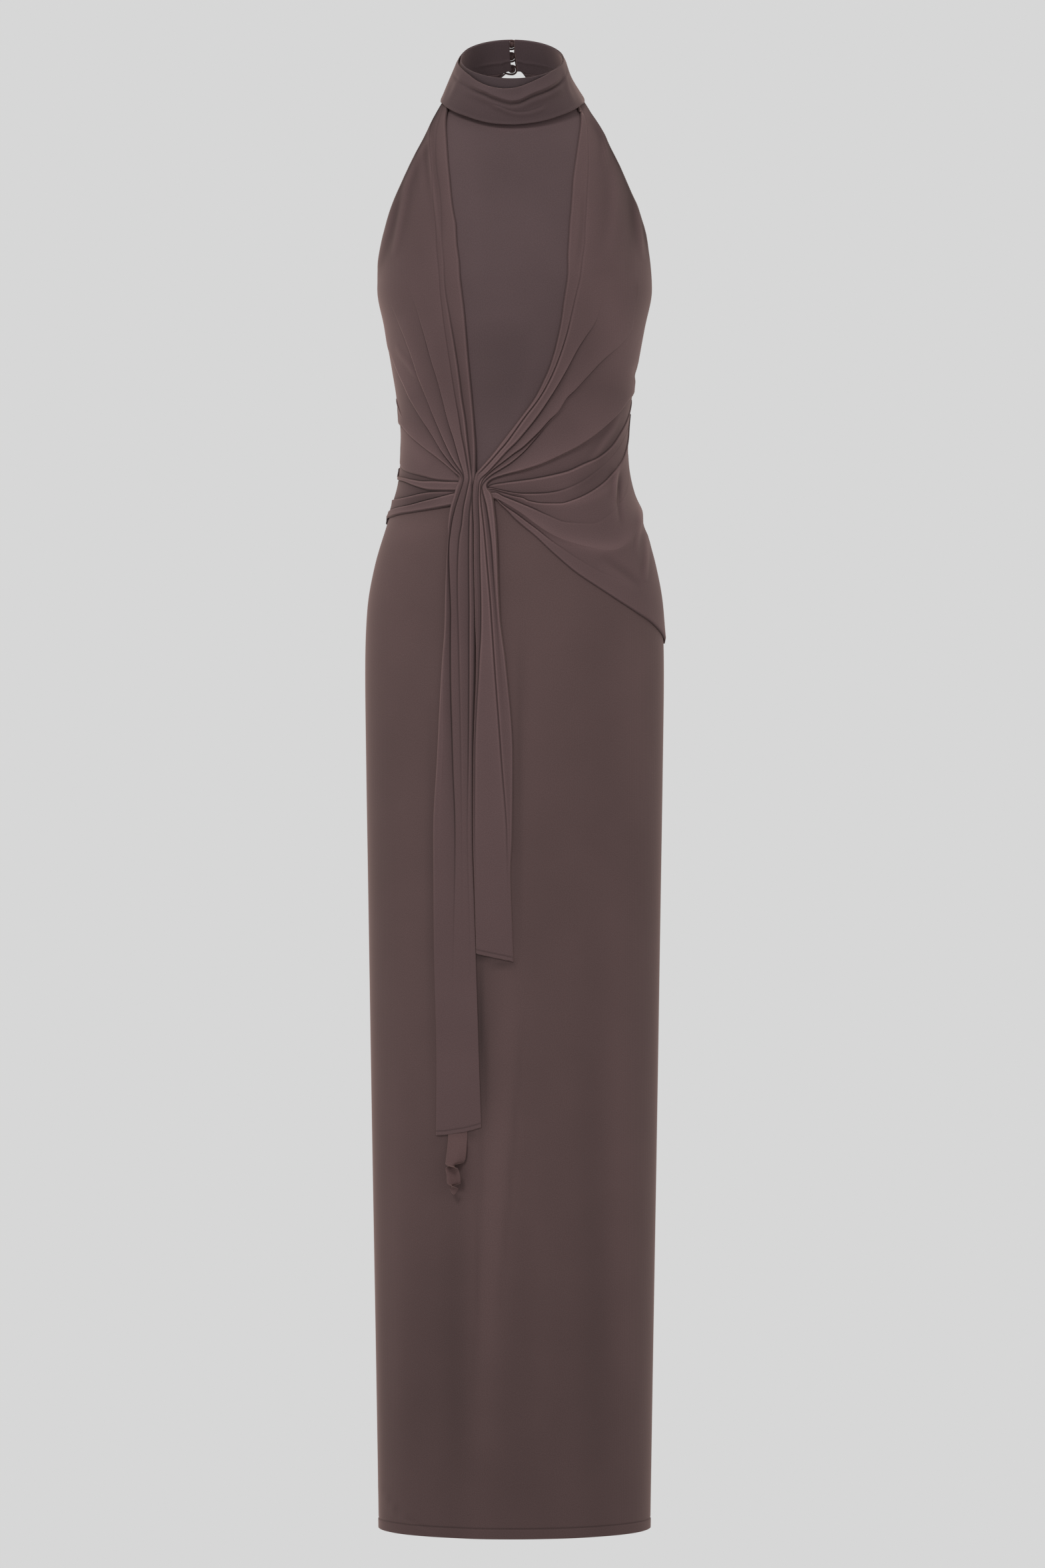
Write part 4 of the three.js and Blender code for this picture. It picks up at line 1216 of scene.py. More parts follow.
# The gathers that run from the knot to the right side seam.
RIGHT_LOWER = (
    FoldLine(
        (
            (-34.9, -417.2, 0), (-25.1, -404.6, 0), (-11.8, -399.1, 0), (9.9, -392.8, 0),
            (27.4, -387, 0), (45, -378.3, 0), (62.5, -368, 0), (79.5, -355.5, 0),
            (94.4, -342.1, 0), (105.9, -330, 0), (116, -315.7, 0), (121.9, -306.3, 0),
            (999, -301, 0),
        ),
        lip=Lip.NONE,
    ),
    FoldLine(
        (
            (-34.9, -418.6, 0.4), (-27.9, -415.9, 1.6), (-22.3, -413.1, 1.8), (-6.3, -410.6, 2.4),
            (9.2, -408.5, 2.8), (21.7, -406.5, 2.8), (39.2, -402.8, 2.8), (56.7, -397.8, 2.6),
            (71.9, -390.3, 2.4), (87.2, -382.6, 2.2), (101.4, -369.9, 1.8), (111.1, -353.9, 1.5),
            (119.7, -332.6, 1.4), (124.2, -317.6, 1.3), (999, -316, 1),
        ),
        lip=Lip.OUTER,
    ),
    FoldLine(
        (
            (-34.2, -419.3, 0.4), (-26.6, -416.4, 1.4), (-15, -418.9, 2), (-3.5, -421.5, 2.4),
            (9.2, -422.7, 2.4), (28.7, -422.1, 1.9), (42.7, -420.1, 1.4), (54.3, -416.5, 0.9),
            (68.9, -409.5, 0.5), (84.4, -398.3, 0.3), (98.8, -384.7, 0.2), (111.8, -365.7, 0.2),
            (121.6, -338.9, 0.2), (999, -332, 0.3),
        ),
        lip=Lip.OUTER,
    ),
    FoldLine(
        (
            (-33.5, -420, 0.4), (-22, -418.9, 1.6), (-12.1, -421.7, 2.2), (-0.5, -425.1, 2.6),
            (9.2, -427.2, 2.8), (15.9, -430.4, 2.8), (31, -432.7, 2.6), (47.3, -432.5, 2.4),
            (62.5, -428.2, 2.3), (77.7, -420.7, 2.2), (93, -409.3, 2), (103.8, -396.8, 1.8),
            (114.8, -377.8, 1.6), (120.5, -350.3, 1.4), (124.2, -330.4, 1.2), (999, -345, 1),
        ),
        lip=Lip.OUTER,
    ),
    FoldLine(
        (
            (-33.5, -421.4, 0.4), (-20.3, -421.3, 1.6), (-12.1, -425.4, 2.2), (-0.5, -430.1, 2.4),
            (9.2, -434.1, 2.2), (19.7, -438.4, 1.6), (33.7, -444.7, 0.9), (54.7, -452.2, 0.4),
            (79.4, -453.1, 0.2), (100.7, -441.7, 0.2), (117.5, -415.3, 0.2), (126.6, -381.6, 0.2),
            (999, -375, 0.2),
        ),
        lip=Lip.OUTER,
    ),
    FoldLine(
        (
            (-32.8, -424.3, 0.5), (-19.5, -427.9, 1.4), (-6.3, -435, 2.4), (9.2, -445.2, 3.1),
            (19.7, -453.2, 3.4), (31.6, -461.6, 3.4), (44.5, -468.5, 3.4), (58.2, -474.2, 3.4),
            (70.4, -477.8, 3.4), (82.8, -480.5, 3.4), (94.2, -481.7, 3.4), (104.1, -480.7, 3.1),
            (113.4, -476.1, 2.7), (122.1, -466.4, 2.4), (128, -453, 1.9), (133, -434.3, 1.4),
            (136.6, -410.1, 0.7), (999, -400, 0.3),
        ),
        lip=Lip.CREST,
    ),
    FoldLine(
        (
            (-32.1, -426.4, 0.3), (-21.5, -426.5, 1.6), (-12.1, -434.3, 2), (-6.2, -438.5, 2.2),
            (2.3, -444.1, 2.2), (10.1, -450, 2), (24, -460.4, 1.6), (35.8, -469.9, 1),
            (47.7, -478.3, 0.5), (68.7, -492.1, 0.2), (96.9, -507, 0.1), (129, -515.3, 0),
            (999, -500, 0),
        ),
        lip=Lip.OUTER,
    ),
    FoldLine(
        (
            (-32.1, -429.2, 0.4), (-20.9, -428.3, 1), (-13.9, -434.7, 1), (-6.9, -441.3, 1),
            (-0.5, -448.3, 1.1), (9.2, -457, 1.1), (23, -468.3, 1.1), (40.7, -485, 1.1),
            (63.8, -504.6, 1.1), (86.3, -519.5, 1.1), (109.4, -534.2, 1.1), (128.9, -546.4, 1.1),
            (142.4, -554.8, 1.1), (152.2, -563.5, 1.1), (999, -577, 1),
        ),
        lip=Lip.INNER,
    ),
)


# Soft folds of the drapes, of the right side and of the skirt's front.
LEFT_SOFT = (
    SoftFold(
        (
            (-88.8, -45.1), (-93.5, -52.4), (-96.4, -59.4), (-97.4, -69.7), (-96.1, -85.6),
            (-94.1, -104.2),
        ),
        2.8, 1.33,
    ),
    SoftFold(
        (
            (-98.3, -51.8), (-100.5, -62.8), (-105.1, -76.4), (-110.3, -87.8), (-113.2, -98.6),
            (-115.4, -111.6), (-117.7, -125.9), (-120.7, -141.4), (-124.8, -161), (-126.6, -170.1),
        ),
        3.5, 1.71,
    ),
    SoftFold(
        (
            (-117.4, -96.9), (-122.1, -107.3), (-127.4, -122.2), (-131.6, -138.2), (-135.9, -153.1),
            (-140.2, -167), (-144.4, -177.5), (-146.2, -189.6),
        ),
        3.5, 1.71,
    ),
    SoftFold(((-138.5, -142.1), (-142.6, -153.3), (-144.9, -167.6), (-145.9, -179.7)), 2.8, 1.14),
    SoftFold(
        (
            (-86, -26.8), (-88.3, -39.7), (-87.5, -57.7), (-86.7, -74.4), (-84.8, -95.3),
            (-82.3, -117.4), (-79.9, -141.4), (-78.6, -160),
        ),
        2.4, 1.52,
    ),
    SoftFold(
        (
            (-125.2, -261), (-119.2, -272.2), (-112, -282), (-106.1, -291.5), (-100.2, -300.2),
        ),
        2.1, 1.33,
    ),
    SoftFold(((-150.9, -225.1), (-149.4, -246.5), (-142.3, -271.4), (-133.8, -296.3)), 4.9, -1.33),
)
RIGHT_SOFT = (
    SoftFold(
        (
            (80.3, -17.6), (85.6, -27.3), (91.5, -37.7), (94.3, -45.2), (94.7, -62.3),
            (92.8, -77.7),
        ),
        2.8, 1.71,
    ),
    SoftFold(
        ((125.4, -105.6), (127.7, -118.5), (130, -136.3), (132.3, -153.9), (134, -172.4)), 3.1, 1.71
    ),
    SoftFold(((133.7, -126.8), (137.3, -140.3), (140.5, -149.2), (143.2, -156.2)), 2.8, 1.33),
    SoftFold(
        ((98.9, -59.5), (102.9, -83.4), (104.9, -111.3), (102.6, -144.1), (96.8, -176.7)), 6.3, 1.14
    ),
    SoftFold(((115.3, -72.5), (121.4, -109.3), (122.6, -145.5), (118.2, -196)), 5.6, -0.95),
    SoftFold(((130.8, -282.7), (128, -289.1), (125.9, -296.2)), 2.8, -2.28),
    SoftFold(((72.3, -106.3), (71.5, -135.3), (68.6, -164.1), (64.4, -192.6)), 3.5, -0.76),
)
SIDE_SOFT = (
    SoftFold(((109.2, -391.7), (105.5, -401.3), (105.5, -413.5), (105.8, -428.6)), 2.8, 1.9),
    SoftFold(((109.2, -395.3), (109.1, -419), (111.8, -456.2)), 2.8, -1.71),
    SoftFold(((129.3, -420), (130.7, -440.8), (129.2, -461.6), (127.7, -483.3)), 2.8, 1.71),
    SoftFold(((135.9, -420), (138, -440), (136, -465.3)), 2.4, -1.33),
    SoftFold(((140.1, -457.8), (138.3, -492), (137, -514.2)), 2.8, 1.52),
    SoftFold(((111.6, -331.5), (101.4, -353.5), (87.2, -376.9), (77.7, -386.5)), 3.5, 1.52),
    SoftFold(((89.9, -488.1), (107.6, -498.3), (121.8, -508.5), (132.6, -520.1)), 4.9, -1.14),
)
FRONT_SKIRT_SOFT = (
    SoftFold(((-146, -1470), (-128.4, -1494), (-110.4, -1506.5), (-84, -1517)), 3, 1.1),
    SoftFold(((-33, -1040), (-37.6, -1204), (-42, -1360)), 3, -0.5),
    SoftFold(((9, -970), (-4.1, -1136.8), (-18, -1290)), 3, -0.5),
    SoftFold(((-5, -900), (-18.8, -1162), (-33.4, -1440)), 17, 1.2),
)


# Patches of painted light, where the cloth is lit more, and of painted shade, where it lies in
# shade.
LEFT_PAINTED_SHADING = (
    SoftFold(((-84, -50), (-98, -130), (-104, -210)), 28, -0.10),
    SoftFold(((-125, -260), (-119, -286), (-108, -318)), 9, 0.17),
    SoftFold(((-38, -400), (-38, -425), (-40, -455)), 10, 0.10),
    SoftFold(((-121.1, -230.2), (-112.6, -268.9), (-98.5, -307.9)), 9, 0.14),
    SoftFold(((-116.3, -346), (-105.9, -372), (-89.3, -392.4)), 10, 0.22),
    SoftFold(((-117, -431), (-96, -427.5), (-75, -424)), 7, -0.19),
)
RIGHT_PAINTED_SHADING = (
    SoftFold(((95, -50), (112, -105), (122, -165)), 17, -0.09),
    SoftFold(((96, -190), (110, -255), (104, -310)), 24, 0.28),
    SoftFold(
        (
            (4, -424), (10.6, -430.6), (46.3, -432.7), (78.5, -426.4), (103, -410), (116, -384),
        ),
        4, 0.17,
    ),
    SoftFold(
        (
            (8, -448), (22.5, -460.7), (46.3, -473.3), (78.5, -479), (106.5, -477), (128, -455),
        ),
        6, 0.16,
    ),
    SoftFold(((60, -350), (83, -338), (105, -310)), 14, 0.09),
    SoftFold(((58, -416), (80, -404), (101, -386)), 8, -0.18),
)
PANEL_PAINTED_SHADING = (
    SoftFold(((-54, -50), (-1.3, -75), (58, -50)), 48, -0.10),
    # Painted light that lifts the shade under the collar's lower edge.
    SoftFold(
        ((-68, -14), (-45, -25), (-20, -32), (0, -34), (20, -32), (45, -26), (68, -14)), 4.5, 0.42
    ),
    SoftFold(((-25.7, -242.2), (-4.8, -297.1), (-25.8, -352)), 34, -0.08),
)
SKIRT_PAINTED_SHADING = (
    SoftFold(((-112, -400), (-135.4, -532.8), (-142.5, -673.8)), 42, 0.15),
    SoftFold(((-60, -1200), (0, -1420), (10, -1640)), 170, -0.15),
    SoftFold(((15, -430), (25, -560), (12.7, -779.1)), 50, 0.09),
    SoftFold(((118, -520), (130, -630), (129, -780)), 22, 0.16),
)
FRONT_SKIRT_PAINTED_SHADING = (
    SoftFold(((-136, -464), (-102, -457), (-60, -452)), 13, 0.13),
    SoftFold(((-146, -1466), (-129.5, -1491), (-111.5, -1503), (-84, -1513)), 2.5, -0.12),
    SoftFold(((-33, -1020), (-37.6, -1204), (-42, -1380)), 3, -0.08),
    SoftFold(((9, -950), (-4.1, -1136.8), (-18, -1300)), 4, -0.07),
    SoftFold(((-2, -850), (-18.8, -1162), (-33.4, -1470)), 17, 0.10),
    SoftFold(((70, -960), (84, -1205), (88, -1460)), 20, -0.07),
    SoftFold(((20, -1080), (30, -1278), (30, -1490)), 13, 0.06),
    SoftFold(((108, -800), (114, -1204), (131, -1470)), 17, 0.08),
    SoftFold(((-62, -1120), (-62, -1317), (-55, -1470)), 15, -0.09),
    SoftFold(((-106, -980), (-97, -1288), (-114, -1480)), 22, -0.04),
    SoftFold(((-126, -1000), (-128, -1246), (-126, -1450)), 10, 0.07),
    # Painted shadow of the ties.
    SoftFold(((-38, -890), (-37, -950), (-33, -1020), (-31, -1095)), 5, -0.42),
    SoftFold(((-34, -890), (-31, -980), (-24, -1100)), 15, -0.14),
    SoftFold(((-46, -906), (-24, -911), (4, -919)), 4.5, -0.5),
    SoftFold(((8, -560), (4, -697), (2, -790), (2, -930)), 5, -0.22),
    SoftFold(((-92, -1102), (-60, -1098), (-30, -1091)), 3.5, -0.34),
    SoftFold(((-88, -640), (-88, -781), (-87.5, -889), (-85, -1110)), 4, -0.15),
)


@dataclass
class TieTail:
    """The end of the left tie, which curls under and twists as it hangs.

    Its rows are height, x, distance off the skirt, width and turn in degrees.
    """

    name: str = "tie_left_curl"
    rows: Sequence[Sequence[float]] = (
        (-1088, -59.4, 0.4, 20, 0),
        (-1097, -59.4, 0.6, 20, 2),
        (-1107, -59.4, 3.0, 20, 4),
        (-1116, -59.6, 5.5, 20, 8),
        (-1124, -60.2, 7.5, 19, 22),
        (-1128, -62.3, 8.5, 17, 95),
        (-1131, -62.3, 9.0, 15, 165),
        (-1140, -60.8, 9.0, 14, 180),
        (-1146, -61, 9.0, 13, 200),
        (-1149, -62.2, 9.0, 11, 275),
        (-1152, -61.2, 9.0, 9, 350),
        (-1158, -61, 9.0, 2, 360),
    )
    wall: float = 0.8
    steps: tuple[int, int] = (90, 16)
    # The strip's edges curl, more where it is wider and hangs further off the skirt.
    curl: float = 0.012
    greatest_depth: float = 7.0
    knit_width: float = 20.0

    def build(self) -> tuple[bpy.types.Object, float]:
        """Twists the strip as it goes down.

        Returns:
            The piece and its area in square metres.
        """
        table = np.array(self.rows, float)
        down, over = self.steps
        cut = row_at(table, np.linspace(0, len(table) - 1, down + 1))
        z, x, depth, width, turn = cut.T
        share, level = FRONT.place_at(x, z)
        normal = FRONT.normal(share, level)
        middle = FRONT.point(share, level) + normal * depth[:, None]
        angle = np.radians(turn) + np.arctan2(normal[:, 0], -normal[:, 1])
        along = np.stack([np.cos(angle), np.sin(angle), np.zeros(len(angle))], -1)
        out = np.stack([along[:, 1], -along[:, 0], np.zeros(len(angle))], -1)
        across = np.linspace(-0.5, 0.5, over + 1)
        bend = self.curl * width * np.clip(depth, 0.3, self.greatest_depth)
        curl = np.outer(bend, np.cos(across * 2 * math.pi))
        point = middle[:, None] + along[:, None] * (width[:, None] * across)[..., None]
        point = point + out[:, None] * curl[..., None]
        half = out[:, None] * self.wall / 2
        knit = np.stack(np.broadcast_arrays(across * self.knit_width, z[:, None]), -1)
        return Sheet(point + half, point - half, knit).mesh(self.name)


# Rings of the collar from the bottom up, in millimetres: half width, middle and half depth in y,
# middle and half rise in z, and how far the ring lies to the side.
STAND_RINGS = (
    (67.5, -6, 59.5, 6.6, 31.5, 0),
    (60.5, -13, 59, 24, 29.5, -2),
    (54.5, -19, 56, 43.8, 27.7, -3),
)
WRAP_RINGS = (
    (74.8, -7.5, 67.2, 0, 32, -2),
    (62.6, -13.5, 61.5, 22, 30, -3.8),
    (54.5, -19, 56, 43.8, 27.7, -3),
)


def ring_point(
    rings: Sequence[Sequence[float]], angle: np.ndarray, share: np.ndarray, height: np.ndarray
) -> np.ndarray:
    """Finds a place on the collar.

    Args:
        rings: The collar's rings, from the bottom up.
        angle: Angle from the centre front.
        share: Share of the collar's height.
        height: Distance out from the rings, in millimetres.

    Returns:
        Points in millimetres.
    """
    table = np.array(rings, float)

    def at(turn: np.ndarray, place: np.ndarray) -> np.ndarray:
        """Reads the rings at an angle and a share of the height.

        Args:
            turn: Angle from the centre front.
            place: Share of the collar's height.

        Returns:
            Points in millimetres.
        """
        row = row_at(table, place * (len(table) - 1))
        half_x, middle_y, half_y, middle_z, half_z, aside = np.moveaxis(row, -1, 0)
        cosine = np.cos(turn)
        x = aside + half_x * np.sin(turn)
        return np.stack([x, middle_y - half_y * cosine, middle_z - half_z * cosine], -1)

    angle, share, height = np.broadcast_arrays(angle, share, height)
    step = SLOPE_STEP
    safe = np.clip(share, step, 1 - step)
    around = at(angle + step, safe) - at(angle - step, safe)
    up = at(angle, safe + step) - at(angle, safe - step)
    normal = np.cross(around, up)
    normal /= np.linalg.norm(normal, axis=-1, keepdims=True)
    return at(angle, share) + normal * height[..., None]


@dataclass
class Collar:
    """The banded collar: a close stand, and a looser folded layer round it.

    Its tables give, by the angle from the centre front in degrees, the share of the height where
    the outer layer ends, where its fold and its second fold lie, and how far its base is raised.
    """

    opening: float = 7.0
    lift: float = 1.2
    top_lift: float = 0.35
    wall: float = 0.9
    stand_wall: float = 1.1
    # At the back the base is raised beside the opening, between these angles in radians.
    back_raise: float = 8.5
    raised_from: float = 2.92
    raised_to: float = 3.04
    columns: int = 240
    stand_rows: int = 40
    wrap_rows: int = 96
    stand_cut: tuple[float, float] = (0.42, 0.05)
    wrap_cut: tuple[float, float] = (0.46, 0.07)
    # Heights of the swag over the fold, of those below it and the second one, of the layer's
    # belly, of the roll along its top, and of the soft ridges at these angles in degrees.
    swag: float = 4.0
    low_swag: float = 2.6
    second_swag: float = 1.2
    belly: float = 1.2
    roll: float = 0.9
    ridge: float = 0.9
    ridges: Sequence[float] = (-68.0, 62.0)
    top: Sequence[tuple[float, float]] = (
        (-180, 1), (-125, 1), (-100, 0.96), (-78, 0.943), (-63, 0.935), (-50, 0.905),
        (-39, 0.85), (-27, 0.80), (-17, 0.775), (-8, 0.768), (0, 0.78), (8, 0.81),
        (18, 0.87), (30, 0.932), (40, 0.972), (50, 1), (180, 1),
    )
    crease: Sequence[tuple[float, float]] = (
        (-180, 0.8), (-62, 0.72), (-45, 0.735), (-35, 0.75), (-25, 0.745), (-18, 0.70),
        (-11, 0.65), (-5, 0.60), (1, 0.56), (7, 0.56), (12, 0.59), (17, 0.62), (22, 0.638),
        (34, 0.64), (43, 0.65), (54, 0.68), (75, 0.78), (180, 0.8),
    )
    second: Sequence[tuple[float, float]] = (
        (-180, 0.56), (-22, 0.56), (-11, 0.517), (-5, 0.44), (1, 0.372), (6.5, 0.335),
        (14.5, 0.321), (21, 0.33), (40, 0.40), (180, 0.40),
    )
    rise: Sequence[tuple[float, float]] = (
        (-180, 0), (-95, 0), (-88, 0), (-83, 1.6), (-78, 3.0), (-70, 3.7), (-60, 3.7), (-50, 3.5),
        (-40, 3.1), (-30, 1.8), (-20, 0.6), (-10, 0.1), (0, 0), (10, 0.4), (20, 1.0),
        (30, 1.9), (40, 3.0), (50, 3.6), (60, 3.8), (70, 3.7), (76, 2.9), (82, 1.2), (88, 0),
        (95, 0), (180, 0),
    )

    def angles(self) -> np.ndarray:
        """Gives the angles of the collar's columns, from one back edge to the other."""
        half = math.pi - self.opening / 2 / WRAP_RINGS[1][2]
        return np.linspace(-half, half, self.columns + 1)

    def along(self, points: Sequence[tuple[float, float]], turn: np.ndarray) -> np.ndarray:
        """Reads a value round the collar between its points.

        Args:
            points: Angles in degrees with their values.
            turn: Angles in degrees.

        Returns:
            The value at each angle.
        """
        table = np.array(points, float)
        spot = np.interp(turn, table[:, 0], np.arange(len(table)))
        return row_at(table[:, 1:], spot)[..., 0]

    def at_back(self, angle: np.ndarray) -> np.ndarray:
        """Gives how far the base is raised beside the opening, as a share."""
        return ease(self.raised_from, self.raised_to, np.abs(angle))

    def build(self, inner: bpy.types.Material, band: bpy.types.Material) -> None:
        """Builds and dresses both layers.

        Args:
            inner: Finish of the inner band.
            band: Finish of the outer layer.
        """
        piece, area = self.stand()
        dress_piece(piece, inner, ("collar_stand",))
        declare(piece, area)
        piece, area = self.wrap()
        dress_piece(piece, band, ("collar_drape",))
        declare(piece, area)

    def stand(self) -> tuple[bpy.types.Object, float]:
        """Builds the inner band.

        Returns:
            The piece and its area in square metres.
        """
        angle = self.angles()[None, :]
        share = np.linspace(0, 1, self.stand_rows + 1)[:, None]
        crease = mound(share - 0.42 - 0.06 * np.cos(angle), 0.05)
        back = ease(1.9, 2.6, np.abs(angle))
        height = 0.35 * ripple(angle * 60, 70, 1.1) * share * (1 - share) - 0.5 * crease * back
        outer = ring_point(STAND_RINGS, angle, share, height)
        inner = ring_point(STAND_RINGS, angle, share, height - self.stand_wall)
        knit = np.stack(np.broadcast_arrays(angle * 62, share * 46), -1)
        for face in (outer, inner):
            face[..., 2] += 0.3 * self.back_raise * (1 - share) * self.at_back(angle)
        # Painted light makes it lighter at the back, and painted shade darkens it where it goes
        # down behind the outer layer.
        turn = np.degrees(angle)
        beside = np.abs(share - self.along(self.top, turn)) / 0.03
        shown = ease(-112, -84, turn) * ease(46, 30, turn)
        light = 0.46 * ease(1.1, 2.2, np.abs(angle)) - 0.13 - 0.34 * np.exp(-beside) * shown
        return Sheet(outer, inner, knit, light + 0 * share).mesh("collar_stand_band")

    def wrap(self) -> tuple[bpy.types.Object, float]:
        """Builds the outer layer, whose upper edge dips in front over two swags.

        Returns:
            The piece and its area in square metres.
        """
        angle = self.angles()[None, :]
        place = np.linspace(0, 1, self.wrap_rows + 1)[:, None]
        turn = np.degrees(angle)
        share = place * self.along(self.top, turn)
        over = place - self.along(self.crease, turn)
        under = place - self.along(self.second, turn)
        front = ease(math.radians(100), math.radians(52), np.abs(angle))
        fades = ease(-20, -10, turn) * ease(34, 24, turn)
        folded_over = ease(-112, -84, turn) * ease(52, 34, turn)
        deep = 0.35 + 0.65 * ease(-52, -24, turn) * ease(66, 40, turn)
        upper = self.swag * mound(over, 0.27) * ease(0, 0.11, over)
        lower = self.low_swag * mound(over + 0.10, 0.11) * ease(0, 0.06, -over)
        second = self.second_swag * mound(under + 0.08, 0.07) * ease(0, 0.05, -under) * fades
        belly = self.belly * np.sin(math.pi * place)
        height = (upper + lower) * front * deep + second * front + belly * (0.4 + 0.6 * front)
        # The lower edge is turned in, and so is fuller.
        height += 0.5 * ease(0.09, 0.0, place) * (0.3 + front)
        height += self.roll * folded_over * mound(1 - place, 0.12)
        height += 0.3 * ripple(angle * 60 + place * 30, 45, 0.4) * np.sin(math.pi * place)
        for at in self.ridges:
            ridge = mound(turn - at - 8 * place, 5) * np.sin(math.pi * place)
            height += self.ridge * ridge
        closer = ease(0.85, 1, place) * (1 - 0.5 * front)
        lift = self.lift + (self.top_lift - self.lift) * closer
        # Painted light and shade: both folds are dark, with a painted shadow below the first, the
        # roll at the top gets a painted highlight, and higher cloth is lighter.
        light = 0.05 * (height - 1.5) - 0.34 * mound(over, 0.02) * front * deep
        light = light - 0.14 * np.exp(-np.abs(over + 0.04) / 0.06) * ease(0.03, -0.02, over) * deep
        light = light + 0.14 * mound(1 - place, 0.035) * folded_over
        light = light - 0.16 * mound(under, 0.02) * fades
        outer = ring_point(WRAP_RINGS, angle, share, lift + height + self.wall)
        inner = ring_point(WRAP_RINGS, angle, share, lift + height)
        knit = np.stack(np.broadcast_arrays(angle * 66, share * 50), -1)
        for face in (outer, inner):
            face[..., 2] += self.back_raise * (1 - place) * self.at_back(angle)
            face[..., 2] += self.along(self.rise, turn) * (1 - place) ** 1.5
        return Sheet(outer, inner, knit, light).mesh("collar_drape_band")


@dataclass
class Fastening:
    """Covered ball buttons in the collar's opening, each with a rouleau loop."""

    places: Sequence[float] = (0.2, 0.52, 0.84)
    radius: float = 3.8
    cord: float = 1.0
    reach: float = 10.0
    face: float = 3.1
    # Where the ball meets the cloth it is this wide, and its loop lies this far from it.
    seat: float = 3.2
    clearance: float = 0.3
    pleats: int = 12
    pleat_depth: float = 0.035
    ball_steps: tuple[int, int] = (26, 48)
    loop_steps: tuple[int, int] = (96, 12)

    def build(self, cloth: bpy.types.Material, cover: bpy.types.Material) -> None:
        """Builds and dresses the buttons and their loops.

        Args:
            cloth: Finish of the loops.
            cover: Finish of the buttons.
        """
        sunk = math.sqrt(self.radius**2 - self.seat**2)
        for i, share in enumerate(self.places, 1):
            back = np.array(math.pi)
            middle = ring_point(WRAP_RINGS, back, np.array(share), np.array(self.face + sunk))
            base = ring_point(WRAP_RINGS, back, np.array(share), np.array(0.0))
            out = (middle - base) / np.linalg.norm(middle - base)
            dress_piece(self.button(i, middle, out), cover, (f"button_{i}",))
            dress_piece(self.loop(i, base, out), cloth, (f"loop_{i}",))
            LOG.info("button_%d and loop_%d: covered ball and its loop", i, i)

    def button(self, i: int, middle: np.ndarray, out: np.ndarray) -> bpy.types.Object:
        """Builds a ball whose cover is drawn in with small pleats towards its shank.

        Args:
            i: Number of the button.
            middle: The ball's middle, in millimetres.
            out: Direction away from the collar.

        Returns:
            The piece.
        """
        down, around = self.ball_steps
        turn = np.linspace(0, 2 * math.pi, around + 1)[:-1]
        # The ball's first and last ring are small, but aren't points.
        tilt = np.linspace(0.001, math.pi - 0.001, down + 1)
        side = np.array([1.0, 0, 0])
        up = np.cross(out, side)
        pleat = np.abs(np.sin(self.pleats / 2 * turn))[None] * ease(1.4, 2.6, tilt)[:, None]
        r = self.radius * (1 - self.pleat_depth * pleat)
        grid = (
            middle
            + (r * np.cos(tilt)[:, None])[..., None] * out
            + (r * np.sin(tilt)[:, None] * np.cos(turn))[..., None] * side
            + (r * np.sin(tilt)[:, None] * np.sin(turn))[..., None] * up
        )
        return tube_mesh(f"covered_button_{i}", grid)

    def loop(self, i: int, base: np.ndarray, out: np.ndarray) -> bpy.types.Object:
        """Builds a closed rouleau round the button and back to the collar's edge.

        Args:
            i: Number of the loop.
            base: The place on the collar under the button, in millimetres.
            out: Direction away from the collar.

        Returns:
            The piece.
        """
        up = np.cross(out, np.array([1.0, 0, 0]))
        centre = base + out * (self.face + self.clearance + self.cord)
        round_it = self.radius + self.cord + self.clearance
        along_steps, around_steps = self.loop_steps
        angle = np.linspace(0, 2 * math.pi, along_steps + 1)[:-1]
        reach = np.where(np.cos(angle) < 0, self.reach, round_it)
        path = centre + np.outer(round_it * np.sin(angle), up)
        path[:, 0] += reach * np.cos(angle)
        along = np.roll(path, -1, 0) - np.roll(path, 1, 0)
        along /= np.linalg.norm(along, axis=1, keepdims=True)
        across = np.cross(along, out)
        turn = np.linspace(0, 2 * math.pi, around_steps + 1)[:-1]
        grid = (
            path[:, None]
            + self.cord * np.cos(turn)[None, :, None] * across[:, None]
            + self.cord * np.sin(turn)[None, :, None] * out
        )
        return tube_mesh(f"button_loop_{i}", grid, closed=True)


